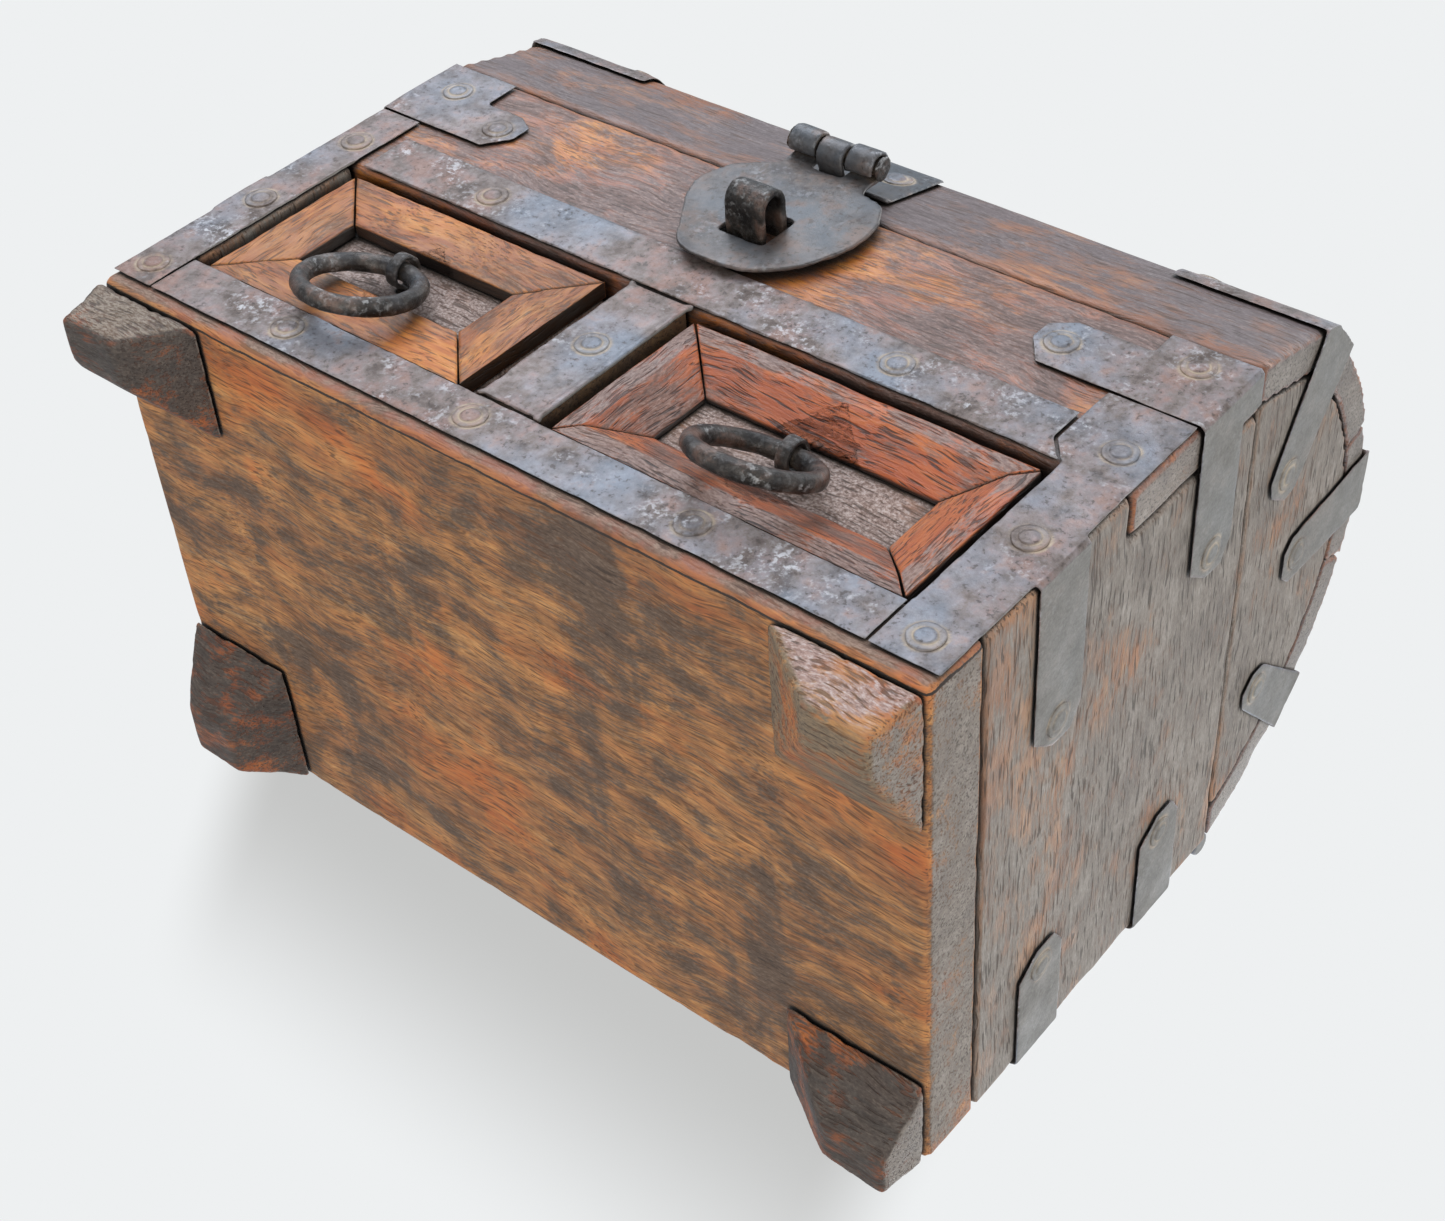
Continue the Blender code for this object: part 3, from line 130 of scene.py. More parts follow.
def oldWood(name, look, grain="X"):
    # Oiled Indian hardwood, sawn and planed by hand: long dark grain and short open pores, under a broken
    # skin of slate-grey grime that hands have rubbed through at the edges, with pale dust in the corners,
    # painted shade deep in the corners and gaps, and paler dust with painted sheen on faces that look to the
    # front.
    material, tree, shader = newMaterial(name)
    place = addNode(tree, "TexCoord").outputs["Object"]
    turned = addNode(tree, "Mapping", {"Vector": place, "Rotation": grainTurns[grain],
                                       "Location": look["shift"]}).outputs["Vector"]
    drift = addNode(tree, "TexNoise", {"Vector": turned, "Scale": look["drift"],
                                       "Detail": 2}).outputs["Color"]
    centred = addNode(tree, "VectorMath", {0: drift, 1: (0.5, 0.5, 0.5)}, operation="SUBTRACT").outputs[0]
    wander = (0, look["wander"], look["wander"])
    wavy = addNode(tree, "VectorMath", {0: centred, 1: wander, 2: turned},
                   operation="MULTIPLY_ADD").outputs[0]
    layers = {}
    for part, detail in patternDetail.items():
        stretched = addNode(tree, "Mapping", {"Vector": wavy, "Scale": look["scales"][part]})
        layers[part] = addNode(tree, "TexNoise", {"Vector": stretched.outputs["Vector"], "Scale": 1,
                                                  "Detail": detail, "Roughness": 0.66}).outputs[0]
    grainMix = addNode(tree, "Mix", {0: 0.5, 2: layers["bands"], 3: layers["lines"]}).outputs[0]
    wood = addNode(tree, "ValToRGB", {0: grainMix}, look["woodStops"]).outputs["Color"]
    hotMask = addNode(tree, "ValToRGB", {0: layers["marks"]}, look["hotStops"]).outputs["Color"]
    hotTone = addNode(tree, "ValToRGB", {0: grainMix}, look["hotTones"]).outputs["Color"]
    warm = addNode(tree, "Mix", {0: hotMask, 6: wood, 7: hotTone}, data_type="RGBA").outputs[2]
    # the grime's thickness: flecks and marks, drawn out along the pores, more of it on ends and on flat
    # fronts, where it turns to paler dust and painted sheen, in bands across the board and in recesses, less
    # on edges that hands rub and near the floor
    edge = addNode(tree, "Attribute", attribute_name="edge").outputs["Fac"]
    flank = addNode(tree, "Attribute", attribute_name="flank").outputs["Fac"]
    level = addNode(tree, "Attribute", attribute_name="level").outputs["Fac"]
    around = addNode(tree, "AmbientOcclusion", {"Distance": dirtAndShadeReach["around"]}, samples=4).outputs["AO"]
    openness = addNode(tree, "ValToRGB", {0: around}, [(0.55, 0.0), (0.9, 1.0)]).outputs["Color"]
    rub = addNode(tree, "Math", {0: edge, 1: openness}, operation="MULTIPLY").outputs[0]
    crossMask = addNode(tree, "ValToRGB", {0: layers["cross"]}, [(0.52, 0.0), (0.66, 1.0)]).outputs["Color"]
    height = addNode(tree, "SeparateXYZ", {0: place}).outputs["Z"]
    low = addNode(tree, "MapRange", {0: height, 1: look["lowReach"][0], 2: look["lowReach"][1], 3: 1.0,
                                     4: 0.0}).outputs[0]
    grime = layers["skin"]
    for source, share in ((layers["marks"], -look["markShare"]), (layers["pores"], look["streakShare"]),
                          (flank, look["flankShare"]), (level, look["levelShare"]),
                          (crossMask, look["crossShare"]), (openness, -look["recessShare"]),
                          (rub, -look["rubShare"]), (low, -look["lowShare"])):
        grime = addNode(tree, "Math", {0: source, 1: share, 2: grime}, operation="MULTIPLY_ADD").outputs[0]
    stops = [(start + look["streakShare"] / 2, amount) for start, amount in look["grimeStops"]]
    grimeMask = addNode(tree, "ValToRGB", {0: grime}, stops).outputs["Color"]
    toneGrain = addNode(tree, "Mix", {0: look["toneGrain"], 2: layers["speck"],
                                      3: layers["lines"]}).outputs[0]
    grimeTone = addNode(tree, "ValToRGB", {0: toneGrain}, look["grimeTones"]).outputs["Color"]
    endGrain = addNode(tree, "Mix", {0: 0.55, 2: toneGrain, 3: layers["skin"]}).outputs[0]
    endTone = addNode(tree, "ValToRGB", {0: endGrain}, sideGrime).outputs["Color"]
    ended = addNode(tree, "Mix", {0: flank, 6: grimeTone, 7: endTone}, data_type="RGBA").outputs[2]
    # faces that look to the front are paler: dust and painted sheen
    frontDustAndSheenTone = addNode(tree, "ValToRGB", {0: layers["speck"]}, look["frontDustAndSheenTones"]).outputs["Color"]
    frontDustAndSheenMix = addNode(tree, "Math", {0: level, 1: look["frontDustAndSheenAmount"]}, operation="MULTIPLY").outputs[0]
    frontDustAndSheened = addNode(tree, "Mix", {0: frontDustAndSheenMix, 6: ended, 7: frontDustAndSheenTone}, data_type="RGBA").outputs[2]
    grimy = addNode(tree, "Mix", {0: grimeMask, 6: warm, 7: frontDustAndSheened}, data_type="RGBA").outputs[2]
    poreMask = addNode(tree, "ValToRGB", {0: layers["pores"]}, look["poreStops"]).outputs["Color"]
    pored = addNode(tree, "Mix", {0: poreMask, 6: grimy, 7: look["pore"]}, data_type="RGBA").outputs[2]
    rubbed = addNode(tree, "Math", {0: rub, 1: layers["skin"]}, operation="MULTIPLY").outputs[0]
    rubStops = [(0.20, 0.0), (0.46, look["wearAmount"])]
    rubMask = addNode(tree, "ValToRGB", {0: rubbed}, rubStops).outputs["Color"]
    worn = addNode(tree, "Mix", {0: rubMask, 6: pored, 7: look["worn"]}, data_type="RGBA").outputs[2]
    if "kerf" in look:
        worn = kerfLine(tree, place, layers["skin"], worn, look["kerf"])
    # pale dust that lies a little way off the corner, and painted shade in the corner itself
    near = addNode(tree, "AmbientOcclusion", {"Distance": dirtAndShadeReach["wood"]}, samples=5).outputs["AO"]
    dustEdge = addNode(tree, "Math", {0: near, 1: layers["speck"]}, operation="ADD").outputs[0]
    dustStops = [(0.98, look["dustAmount"]), (1.2, 0.0)]
    dustMask = addNode(tree, "ValToRGB", {0: dustEdge}, dustStops).outputs["Color"]
    dusty = addNode(tree, "Mix", {0: dustMask, 6: worn, 7: look["dust"]}, data_type="RGBA").outputs[2]
    paintedCornerShade = addNode(tree, "ValToRGB", {0: near}, [(0.24, 0.97), (0.56, 0.0)]).outputs["Color"]
    cornerShaded = addNode(tree, "Mix", {0: paintedCornerShade, 6: dusty, 7: look["paintedCornerShade"]}, data_type="RGBA").outputs[2]
    # painted shade, near black, in narrow gaps between parts and, as each look sets, on faces that look
    # sideways, up or down
    aside = addNode(tree, "Attribute", attribute_name="aside").outputs["Fac"]
    asideShade = addNode(tree, "Math", {0: aside, 1: look["asideShade"]}, operation="MULTIPLY").outputs[0]
    paintedGapShade = addNode(tree, "ValToRGB", {0: around}, [(0.40, 0.96), (0.60, 0.0)]).outputs["Color"]
    gapShade = addNode(tree, "Math", {0: paintedGapShade, 1: asideShade}, operation="MAXIMUM").outputs[0]
    gapShaded = addNode(tree, "Mix", {0: gapShade, 6: cornerShaded, 7: look["paintedGapShade"]}, data_type="RGBA").outputs[2]
    tree.links.new(gapShaded, shader.inputs["Base Color"])
    sheen = addNode(tree, "MapRange", {0: layers["skin"], 1: 0.35, 2: 0.65, 3: look["roughness"][0],
                                       4: look["roughness"][1]}).outputs[0]
    tree.links.new(sheen, shader.inputs["Roughness"])
    relief = addNode(tree, "Mix", {0: 0.35, 2: layers["lines"], 3: layers["speck"]}).outputs[0]
    sunk = addNode(tree, "Math", {0: poreMask, 1: -0.6, 2: relief}, operation="MULTIPLY_ADD").outputs[0]
    bump = addNode(tree, "Bump", {"Strength": look["bump"], "Distance": reliefDepth,
                                  "Height": sunk}).outputs[0]
    tree.links.new(bump, shader.inputs["Normal"])
    return material


def kerfLine(tree, place, skin, under, kerf):
    # a scribed line that runs beside a board's front edge, and the redder, rubbed wood in front of it
    depth = addNode(tree, "SeparateXYZ", {0: place}).outputs["Y"]
    swung = addNode(tree, "Math", {0: skin, 1: kerf["swing"], 2: depth}, operation="MULTIPLY_ADD").outputs[0]
    middle = kerf["place"] + kerf["swing"] / 2
    before = addNode(tree, "MapRange", {0: swung, 1: middle - kerf["width"], 2: middle, 3: 0.6,
                                        4: 0.0}).outputs[0]
    patchy = addNode(tree, "ValToRGB", {0: skin}, [(0.40, 1.0), (0.54, 0.15)]).outputs["Color"]
    amount = addNode(tree, "Math", {0: before, 1: patchy}, operation="MULTIPLY").outputs[0]
    fronted = addNode(tree, "Mix", {0: amount, 6: under, 7: kerf["rubbed"]}, data_type="RGBA").outputs[2]
    line = addNode(tree, "Math", {0: swung, 1: middle, 2: kerf["width"] / 2}, operation="COMPARE").outputs[0]
    return addNode(tree, "Mix", {0: line, 6: fronted, 7: kerf["line"]}, data_type="RGBA").outputs[2]


# The grey film that covers the chest's sides, and the end grain of every board
sideGrime = [(0.36, "#5a534c"), (0.51, "#7d766d"), (0.66, "#a19b93")]
# wander is how far the grain swings aside, in metres, and drift how often in a metre; each share is how much
# that mark adds to the thickness of the grime or takes from it
plainWood = {
    "scales": plainScales, "drift": 24, "wander": 0.012, "hotStops": [(0.50, 0.0), (0.66, 0.85)],
    "hotTones": [(0.34, "#8e5636"), (0.50, "#a86b40"), (0.66, "#b97f50")],
    "pore": "#33261d", "poreStops": [(0.34, 0.7), (0.46, 0.0)], "markShare": 0.8, "streakShare": 0.6,
    "flankShare": 0.22, "levelShare": 0.0, "crossShare": 0.0, "recessShare": 0.0, "rubShare": 0.12,
    "lowShare": 0.0, "lowReach": (0.01, 0.10), "asideShade": 0.0, "toneGrain": 0.4,
    # the front tones are paler dust and painted sheen, laid on faces that look to the front
    "frontDustAndSheenTones": [(0.38, "#7d7266"), (0.62, "#a39a8f")], "frontDustAndSheenAmount": 0.0,
    # The near-black colours below are painted shade, in corners and in narrow gaps
    "worn": "#a8673f", "wearAmount": 0.5, "dust": "#9a8b78", "dustAmount": 0.5, "paintedCornerShade": "#17120f",
    "paintedGapShade": "#140f0c", "bump": 0.5,
}
woodLooks = {
    "bottom": {
        **plainWood, "shift": (0.31, 0.12, 0.05), "markShare": 1.0, "crossShare": 0.15, "streakShare": 0.8,
        "levelShare": 0.3, "frontDustAndSheenTones": [(0.38, "#75655a"), (0.62, "#9d8b7d")], "frontDustAndSheenAmount": 0.7,
        "woodStops": [(0.34, "#8c5833"), (0.45, "#aa7141"), (0.55, "#c0864d"), (0.68, "#d2a067")],
        "hotTones": [(0.34, "#9c5029"), (0.50, "#bb6730"), (0.66, "#cb7f40")],
        "hotStops": [(0.54, 0.0), (0.66, 0.85)], "grimeStops": [(-0.12, 0.0), (0.17, 0.95)],
        "grimeTones": [(0.36, "#43372d"), (0.52, "#5b4b3f"), (0.68, "#776759")], "wearAmount": 0.25,
        "roughness": (0.60, 0.80),
        "kerf": {"place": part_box("bottom_board")[0].y + 0.0012, "swing": 0.0010, "width": 0.0005,
                 "rubbed": "#94523a", "line": "#2f241d"},
    },
    "side": {
        **plainWood, "shift": (0.07, 0.41, 0.22), "wander": 0.006,
        "scales": {**plainScales, "lines": (120, 780, 780)},
        "woodStops": [(0.34, "#6f5443"), (0.46, "#8a6e5a"), (0.56, "#99806c"), (0.70, "#ab947f")],
        "hotTones": [(0.34, "#855a40"), (0.50, "#a3714c"), (0.66, "#b58a62")], "pore": "#3d342c",
        "poreStops": [(0.33, 0.75), (0.42, 0.0)], "lowShare": 0.16,
        "grimeStops": [(-0.11, 0.0), (0.08, 0.9)], "flankShare": 0.04, "toneGrain": 0.55,
        "grimeTones": sideGrime, "worn": "#9a7355", "wearAmount": 0.3, "roughness": (0.55, 0.72), "bump": 1.0,
    },
    "front": {
        **plainWood, "shift": (0.55, 0.20, 0.61),
        "woodStops": [(0.34, "#623a2b"), (0.45, "#855039"), (0.55, "#966047"), (0.68, "#a97457")],
        "hotTones": [(0.34, "#86431a"), (0.48, "#aa6424"), (0.62, "#c6853a")],
        "hotStops": [(0.48, 0.0), (0.58, 0.92)], "grimeStops": [(0.00, 0.0), (0.16, 0.93)],
        "grimeTones": [(0.36, "#43332f"), (0.52, "#665048"), (0.68, "#8c7a74")],
        "worn": "#a3633f", "roughness": (0.34, 0.54), "bump": 0.45,
    },
    "lid": {
        **plainWood, "shift": (0.15, 0.77, 0.33),
        "woodStops": [(0.34, "#4e3529"), (0.45, "#6d4d3e"), (0.55, "#805d4d"), (0.68, "#957564")],
        "hotTones": [(0.34, "#74401f"), (0.48, "#975a30"), (0.62, "#ae7849")],
        "grimeStops": [(-0.06, 0.0), (0.12, 0.93)],
        "grimeTones": [(0.34, "#4a4141"), (0.52, "#625859"), (0.70, "#7f7878")],
        "worn": "#8d6047", "wearAmount": 0.45, "roughness": (0.36, 0.58), "bump": 0.45,
    },
    "inside": {
        **plainWood, "shift": (0.45, 0.05, 0.15),
        "woodStops": [(0.34, "#5d4330"), (0.45, "#7c5b40"), (0.55, "#93704e"), (0.68, "#a8875f")],
        "hotTones": [(0.34, "#7a5233"), (0.48, "#976b44"), (0.62, "#ac8354")],
        "grimeStops": [(0.08, 0.0), (0.30, 0.7)], "flankShare": 0,
        "grimeTones": [(0.34, "#4f4035"), (0.52, "#6a5949"), (0.70, "#8a7966")],
        "worn": "#9a7048", "wearAmount": 0.4, "roughness": (0.66, 0.82), "bump": 0.4,
    },
    "leftDrawer": {
        **plainWood, "shift": (0.83, 0.35, 0.48), "flankShare": 0, "recessShare": 0.10, "asideShade": 0.93,
        "woodStops": [(0.34, "#683718"), (0.45, "#8c5026"), (0.55, "#a26731"), (0.68, "#b6824c")],
        "hotTones": [(0.34, "#8f4515"), (0.48, "#b86a24"), (0.62, "#cf8a3a")],
        "hotStops": [(0.48, 0.0), (0.62, 0.8)], "grimeStops": [(0.05, 0.0), (0.24, 0.85)],
        "grimeTones": [(0.36, "#412a1d"), (0.52, "#644936"), (0.70, "#907763")],
        "worn": "#43332b", "wearAmount": 0.8, "paintedCornerShade": "#5c4a39", "roughness": (0.44, 0.62),
    },
    "rightDrawer": {
        **plainWood, "shift": (0.28, 0.63, 0.91), "flankShare": 0, "recessShare": 0.04, "levelShare": 0.16,
        "scales": {**plainScales, "pores": (100, 2000, 2000)}, "asideShade": 0.93,
        "woodStops": [(0.34, "#6b3720"), (0.45, "#8d4a2a"), (0.55, "#a35830"), (0.68, "#b66e42")],
        "hotTones": [(0.34, "#873a18"), (0.48, "#a65224"), (0.62, "#bd6f38")],
        "hotStops": [(0.46, 0.0), (0.57, 0.9)], "pore": "#23150f", "poreStops": [(0.34, 0.85), (0.45, 0.0)],
        "grimeStops": [(0.04, 0.0), (0.20, 0.88)],
        "grimeTones": [(0.36, "#49362e"), (0.52, "#6d544a"), (0.70, "#957e74")],
        "frontDustAndSheenTones": [(0.38, "#5c4a43"), (0.62, "#86766e")], "frontDustAndSheenAmount": 0.8,
        "worn": "#8f4a33", "wearAmount": 0.6, "paintedCornerShade": "#58483b", "roughness": (0.36, 0.58), "bump": 0.8,
    },
    "sunkPanel": {
        **plainWood, "shift": (0.12, 0.93, 0.41), "flankShare": 0, "toneGrain": 0.15, "asideShade": 0.8,
        "scales": {**plainScales, "speck": (1500, 1900, 1900)},
        "woodStops": [(0.34, "#6d5042"), (0.45, "#8b6b5b"), (0.55, "#9c7d6d"), (0.68, "#ad9080")],
        "grimeStops": [(-0.12, 0.0), (0.06, 0.85)],
        "grimeTones": [(0.36, "#5b4a42"), (0.50, "#917f77"), (0.64, "#bbaea8")],
        "worn": "#8a6450", "wearAmount": 0.3, "dustAmount": 0.55, "roughness": (0.60, 0.80), "bump": 0.9,
    },
    "foot": {
        **plainWood, "shift": (0.66, 0.18, 0.27), "wander": 0.014, "flankShare": 0,
        "scales": {**plainScales, "lines": (90, 620, 620), "skin": (120, 170, 170)}, "dustAmount": 0.3,
        "woodStops": [(0.34, "#4f2e1b"), (0.45, "#744022"), (0.55, "#925228"), (0.68, "#a96632")],
        "hotTones": [(0.34, "#8a4418"), (0.48, "#a9561f"), (0.62, "#bd7030")],
        "grimeStops": [(-0.07, 0.0), (0.09, 0.94)],
        "grimeTones": [(0.34, "#2d2925"), (0.52, "#433e38"), (0.70, "#605a52")],
        "frontDustAndSheenTones": [(0.38, "#5d4d3e"), (0.62, "#8f8578")], "frontDustAndSheenAmount": 0.9,
        "worn": "#a85a2a", "wearAmount": 0.9, "roughness": (0.50, 0.72), "bump": 0.8,
    },
}
# The right front foot has lost its dark skin
woodLooks["paleFoot"] = {
    **woodLooks["foot"], "shift": (0.21, 0.52, 0.73),
    "woodStops": [(0.34, "#7a4a2e"), (0.45, "#9a6a40"), (0.55, "#ab7e4e"), (0.68, "#b98f60")],
    "grimeTones": [(0.34, "#5c5244"), (0.52, "#786955"), (0.70, "#947f63")],
    "frontDustAndSheenTones": [(0.36, "#7f665e"), (0.52, "#9f877f"), (0.68, "#b9aca8")], "frontDustAndSheenAmount": 1.0,
    "worn": "#b05a2c",
}


# The iron's patterns as repeats per metre, detail and roughness: fire scale and painted sheen in plates of 31
# mm, patches of rust of 6 mm, grit of 0.8 mm, pits and painted glints of 1.1 mm, and patches of wax and of
# painted highlight of 13 mm
ironPatterns = {
    "scale": (32, 6, 0.6),
    "patch": (170, 6, 0.62),
    "speck": (1300, 4, 0.75),
    "fleck": (900, 3, 0.6),
    "waxAndPaintedGlint": (75, 7, 0.7),
}


def oldIron(name, look):
    # Wrought iron beaten out by hand, waxed over old rust: brown with blue-grey patches, partly fire scale
    # and partly painted sheen, shallow hammer marks, fine pits, flecks of painted highlight in patches, a
    # grey film of dust on the flanks and round the rivets, and painted shade in its corners.
    material, tree, shader = newMaterial(name)
    place = addNode(tree, "TexCoord").outputs["Object"]
    layers = []
    for perMetre, detail, roughness in ironPatterns.values():
        layers.append(addNode(tree, "TexNoise", {"Vector": place, "Scale": perMetre, "Detail": detail,
                                                 "Roughness": roughness}).outputs[0])
    scale, patch, speck, fleck, waxAndPaintedGlint = layers
    brown = addNode(tree, "ValToRGB", {0: patch}, look["brownStops"]).outputs["Color"]
    # blue-grey patches, partly fire scale and partly painted sheen
    blueScaleAndSheenMask = addNode(tree, "ValToRGB", {0: scale}, look["blueScaleAndSheenStops"]).outputs["Color"]
    blueScaleAndSheened = addNode(tree, "Mix", {0: blueScaleAndSheenMask, 6: brown, 7: look["blueScaleAndSheen"]}, data_type="RGBA").outputs[2]
    rustSum = addNode(tree, "Math", {0: scale, 1: -0.7, 2: patch}, operation="MULTIPLY_ADD").outputs[0]
    rustMask = addNode(tree, "ValToRGB", {0: rustSum}, look["rustStops"]).outputs["Color"]
    rusty = addNode(tree, "Mix", {0: rustMask, 6: blueScaleAndSheened, 7: look["rust"]}, data_type="RGBA").outputs[2]
    pitMask = addNode(tree, "ValToRGB", {0: fleck}, [(0.32, 0.7), (0.42, 0.0)]).outputs["Color"]
    pitted = addNode(tree, "Mix", {0: pitMask, 6: rusty, 7: look["pit"]}, data_type="RGBA").outputs[2]
    # flecks of painted highlight, gathered in patches
    glintPatch = addNode(tree, "ValToRGB", {0: waxAndPaintedGlint}, [(0.52, 0.08), (0.68, 1.0)]).outputs["Color"]
    glintSpeck = addNode(tree, "ValToRGB", {0: fleck}, [(0.50, 0.0), (0.62, look["glint"])]).outputs["Color"]
    paintedGlintMask = addNode(tree, "Math", {0: glintPatch, 1: glintSpeck}, operation="MULTIPLY").outputs[0]
    glinted = addNode(tree, "Mix", {0: paintedGlintMask, 6: pitted, 7: look["waxAndPaintedGlint"]}, data_type="RGBA").outputs[2]
    edge = addNode(tree, "Attribute", attribute_name="edge").outputs["Fac"]
    bright = addNode(tree, "Math", {0: edge, 1: patch}, operation="MULTIPLY").outputs[0]
    brightMask = addNode(tree, "ValToRGB", {0: bright}, [(0.22, 0.0), (0.55, 0.5)]).outputs["Color"]
    rubbed = addNode(tree, "Mix", {0: brightMask, 6: glinted, 7: look["rubbed"]}, data_type="RGBA").outputs[2]
    flank = addNode(tree, "Attribute", attribute_name="flank").outputs["Fac"]
    filmGrain = addNode(tree, "Mix", {0: 0.6, 2: patch, 3: speck}).outputs[0]
    filmTone = addNode(tree, "ValToRGB", {0: filmGrain}, look["filmTones"]).outputs["Color"]
    filmShare = addNode(tree, "Math", {0: flank, 1: look["filmAmount"]}, operation="MULTIPLY").outputs[0]
    filmed = addNode(tree, "Mix", {0: filmShare, 6: rubbed, 7: filmTone}, data_type="RGBA").outputs[2]
    ring = addNode(tree, "Attribute", attribute_name="dust").outputs["Fac"]
    broken = addNode(tree, "ValToRGB", {0: patch}, [(0.38, 0.1), (0.55, 1.0)]).outputs["Color"]
    brokenRing = addNode(tree, "Math", {0: ring, 1: broken}, operation="MULTIPLY").outputs[0]
    corner = addNode(tree, "AmbientOcclusion", {"Distance": dirtAndShadeReach["iron"]}, samples=5).outputs["AO"]
    cornerDust = addNode(tree, "Math", {0: corner, 1: speck}, operation="ADD").outputs[0]
    dustStops = [(0.95, look["dustAmount"]), (1.22, 0.0)]
    cornerMask = addNode(tree, "ValToRGB", {0: cornerDust}, dustStops).outputs["Color"]
    allDust = addNode(tree, "Math", {0: cornerMask, 1: brokenRing}, operation="MAXIMUM").outputs[0]
    dustTone = addNode(tree, "ValToRGB", {0: patch}, look["dustTones"]).outputs["Color"]
    dusted = addNode(tree, "Mix", {0: allDust, 6: filmed, 7: dustTone}, data_type="RGBA").outputs[2]
    # painted shade, near black, in the iron's tight corners
    paintedCornerShade = addNode(tree, "ValToRGB", {0: corner}, [(0.22, 0.95), (0.52, 0.0)]).outputs["Color"]
    cornerShaded = addNode(tree, "Mix", {0: paintedCornerShade, 6: dusted, 7: look["paintedCornerShade"]}, data_type="RGBA").outputs[2]
    tree.links.new(cornerShaded, shader.inputs["Base Color"])
    dull = addNode(tree, "Math", {0: allDust, 1: filmShare}, operation="MAXIMUM").outputs[0]
    metal = addNode(tree, "MapRange", {0: dull, 3: look["metal"], 4: 0.0}).outputs[0]
    tree.links.new(metal, shader.inputs["Metallic"])
    rough = addNode(tree, "MapRange", {0: waxAndPaintedGlint, 1: 0.36, 2: 0.64, 3: look["roughness"][0],
                                       4: look["roughness"][1]}).outputs[0]
    rougher = addNode(tree, "Math", {0: dull, 1: look["dullness"], 2: rough},
                      operation="MULTIPLY_ADD").outputs[0]
    tree.links.new(rougher, shader.inputs["Roughness"])
    beaten = addNode(tree, "TexVoronoi", {"Vector": place, "Scale": look["hammer"]},
                     feature="SMOOTH_F1").outputs[0]
    dents = addNode(tree, "Math", {0: beaten, 1: patch}, operation="ADD").outputs[0]
    rugged = addNode(tree, "Math", {0: speck, 1: 0.5, 2: dents}, operation="MULTIPLY_ADD").outputs[0]
    bump = addNode(tree, "Bump", {"Strength": look["bump"], "Distance": reliefDepth,
                                  "Height": rugged}).outputs[0]
    tree.links.new(bump, shader.inputs["Normal"])
    return material


# The hammer left its marks 230 times in a metre, 4 mm apart
plainIron = {
    "brownStops": [(0.34, "#4a3e38"), (0.46, "#665b56"), (0.56, "#787071"), (0.68, "#8f8a8a")],
    # the blue-grey is partly fire scale and partly painted sheen, and the pale flecks are painted highlights
    "blueScaleAndSheen": "#68727e", "blueScaleAndSheenStops": [(0.48, 0.0), (0.64, 0.8)], "pit": "#332a25",
    "rust": "#74492f", "rustStops": [(0.18, 0.0), (0.32, 0.6)], "glint": 0.75, "waxAndPaintedGlint": "#c6c8cc",
    "rubbed": "#989290", "filmTones": [(0.36, "#6a6762"), (0.52, "#7b7973"), (0.68, "#918f89")],
    "filmAmount": 0.85, "dustTones": [(0.42, "#7d6c59"), (0.60, "#b3a48e")], "dustAmount": 0.6,
    # The near-black colour below is painted shade in the iron's corners
    "paintedCornerShade": "#14110f", "metal": 0.35, "roughness": (0.32, 0.60), "dullness": 0.22, "hammer": 230,
    "bump": 0.45,
}
ironLooks = {
    "sheet": plainIron,
    "hasp": {
        **plainIron,
        "brownStops": [(0.34, "#3a2f2a"), (0.46, "#54483f"), (0.56, "#655a52"), (0.68, "#7b726b")],
        "rust": "#5a4234", "blueScaleAndSheen": "#485057", "blueScaleAndSheenStops": [(0.36, 0.2), (0.56, 0.85)], "glint": 0.4,
        "waxAndPaintedGlint": "#a5a7ab", "filmAmount": 0.0, "roughness": (0.30, 0.50), "bump": 0.25,
    },
    "forged": {
        **plainIron,
        "brownStops": [(0.38, "#120f0d"), (0.47, "#221e1b"), (0.56, "#3a3531"), (0.68, "#5f5a55")],
        "blueScaleAndSheenStops": [(0.60, 0.0), (0.80, 0.4)], "glint": 0.55, "filmAmount": 0.0, "dustAmount": 0.35,
        "rust": "#5e3a28", "waxAndPaintedGlint": "#cfd0d0", "metal": 0.4, "roughness": (0.24, 0.48), "bump": 0.8,
    },
}

woods = {name: oldWood(name + "Hardwood", look) for name, look in woodLooks.items()}
woods["sideAlongY"] = oldWood("sideHardwoodAlongY", woodLooks["side"], "Y")
woods["insideAlongY"] = oldWood("insideHardwoodAlongY", woodLooks["inside"], "Y")
woods["leftDrawerUpright"] = oldWood("leftDrawerHardwoodUpright", woodLooks["leftDrawer"], "Z")
woods["rightDrawerUpright"] = oldWood("rightDrawerHardwoodUpright", woodLooks["rightDrawer"], "Z")
irons = {name: oldIron(name + "Iron", look) for name, look in ironLooks.items()}
print("materials made")


# Hand-worn shapes

def newPiece(name, mesh, material, body):
    mesh.materials.clear()
    mesh.materials.append(material)
    piece = bpy.data.objects.new(name, mesh)
    bpy.context.scene.collection.objects.link(piece)
    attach(piece, body)
    return piece


# Corners nearer than this are one corner
sameCorner = 0.000002


def mergedCopy(nodeName):
    # the node's triangles with their shared corners joined
    bm = bmesh.new()
    bm.from_mesh(nodes[nodeName].data)
    bmesh.ops.remove_doubles(bm, verts=bm.verts, dist=sameCorner)
    return bm


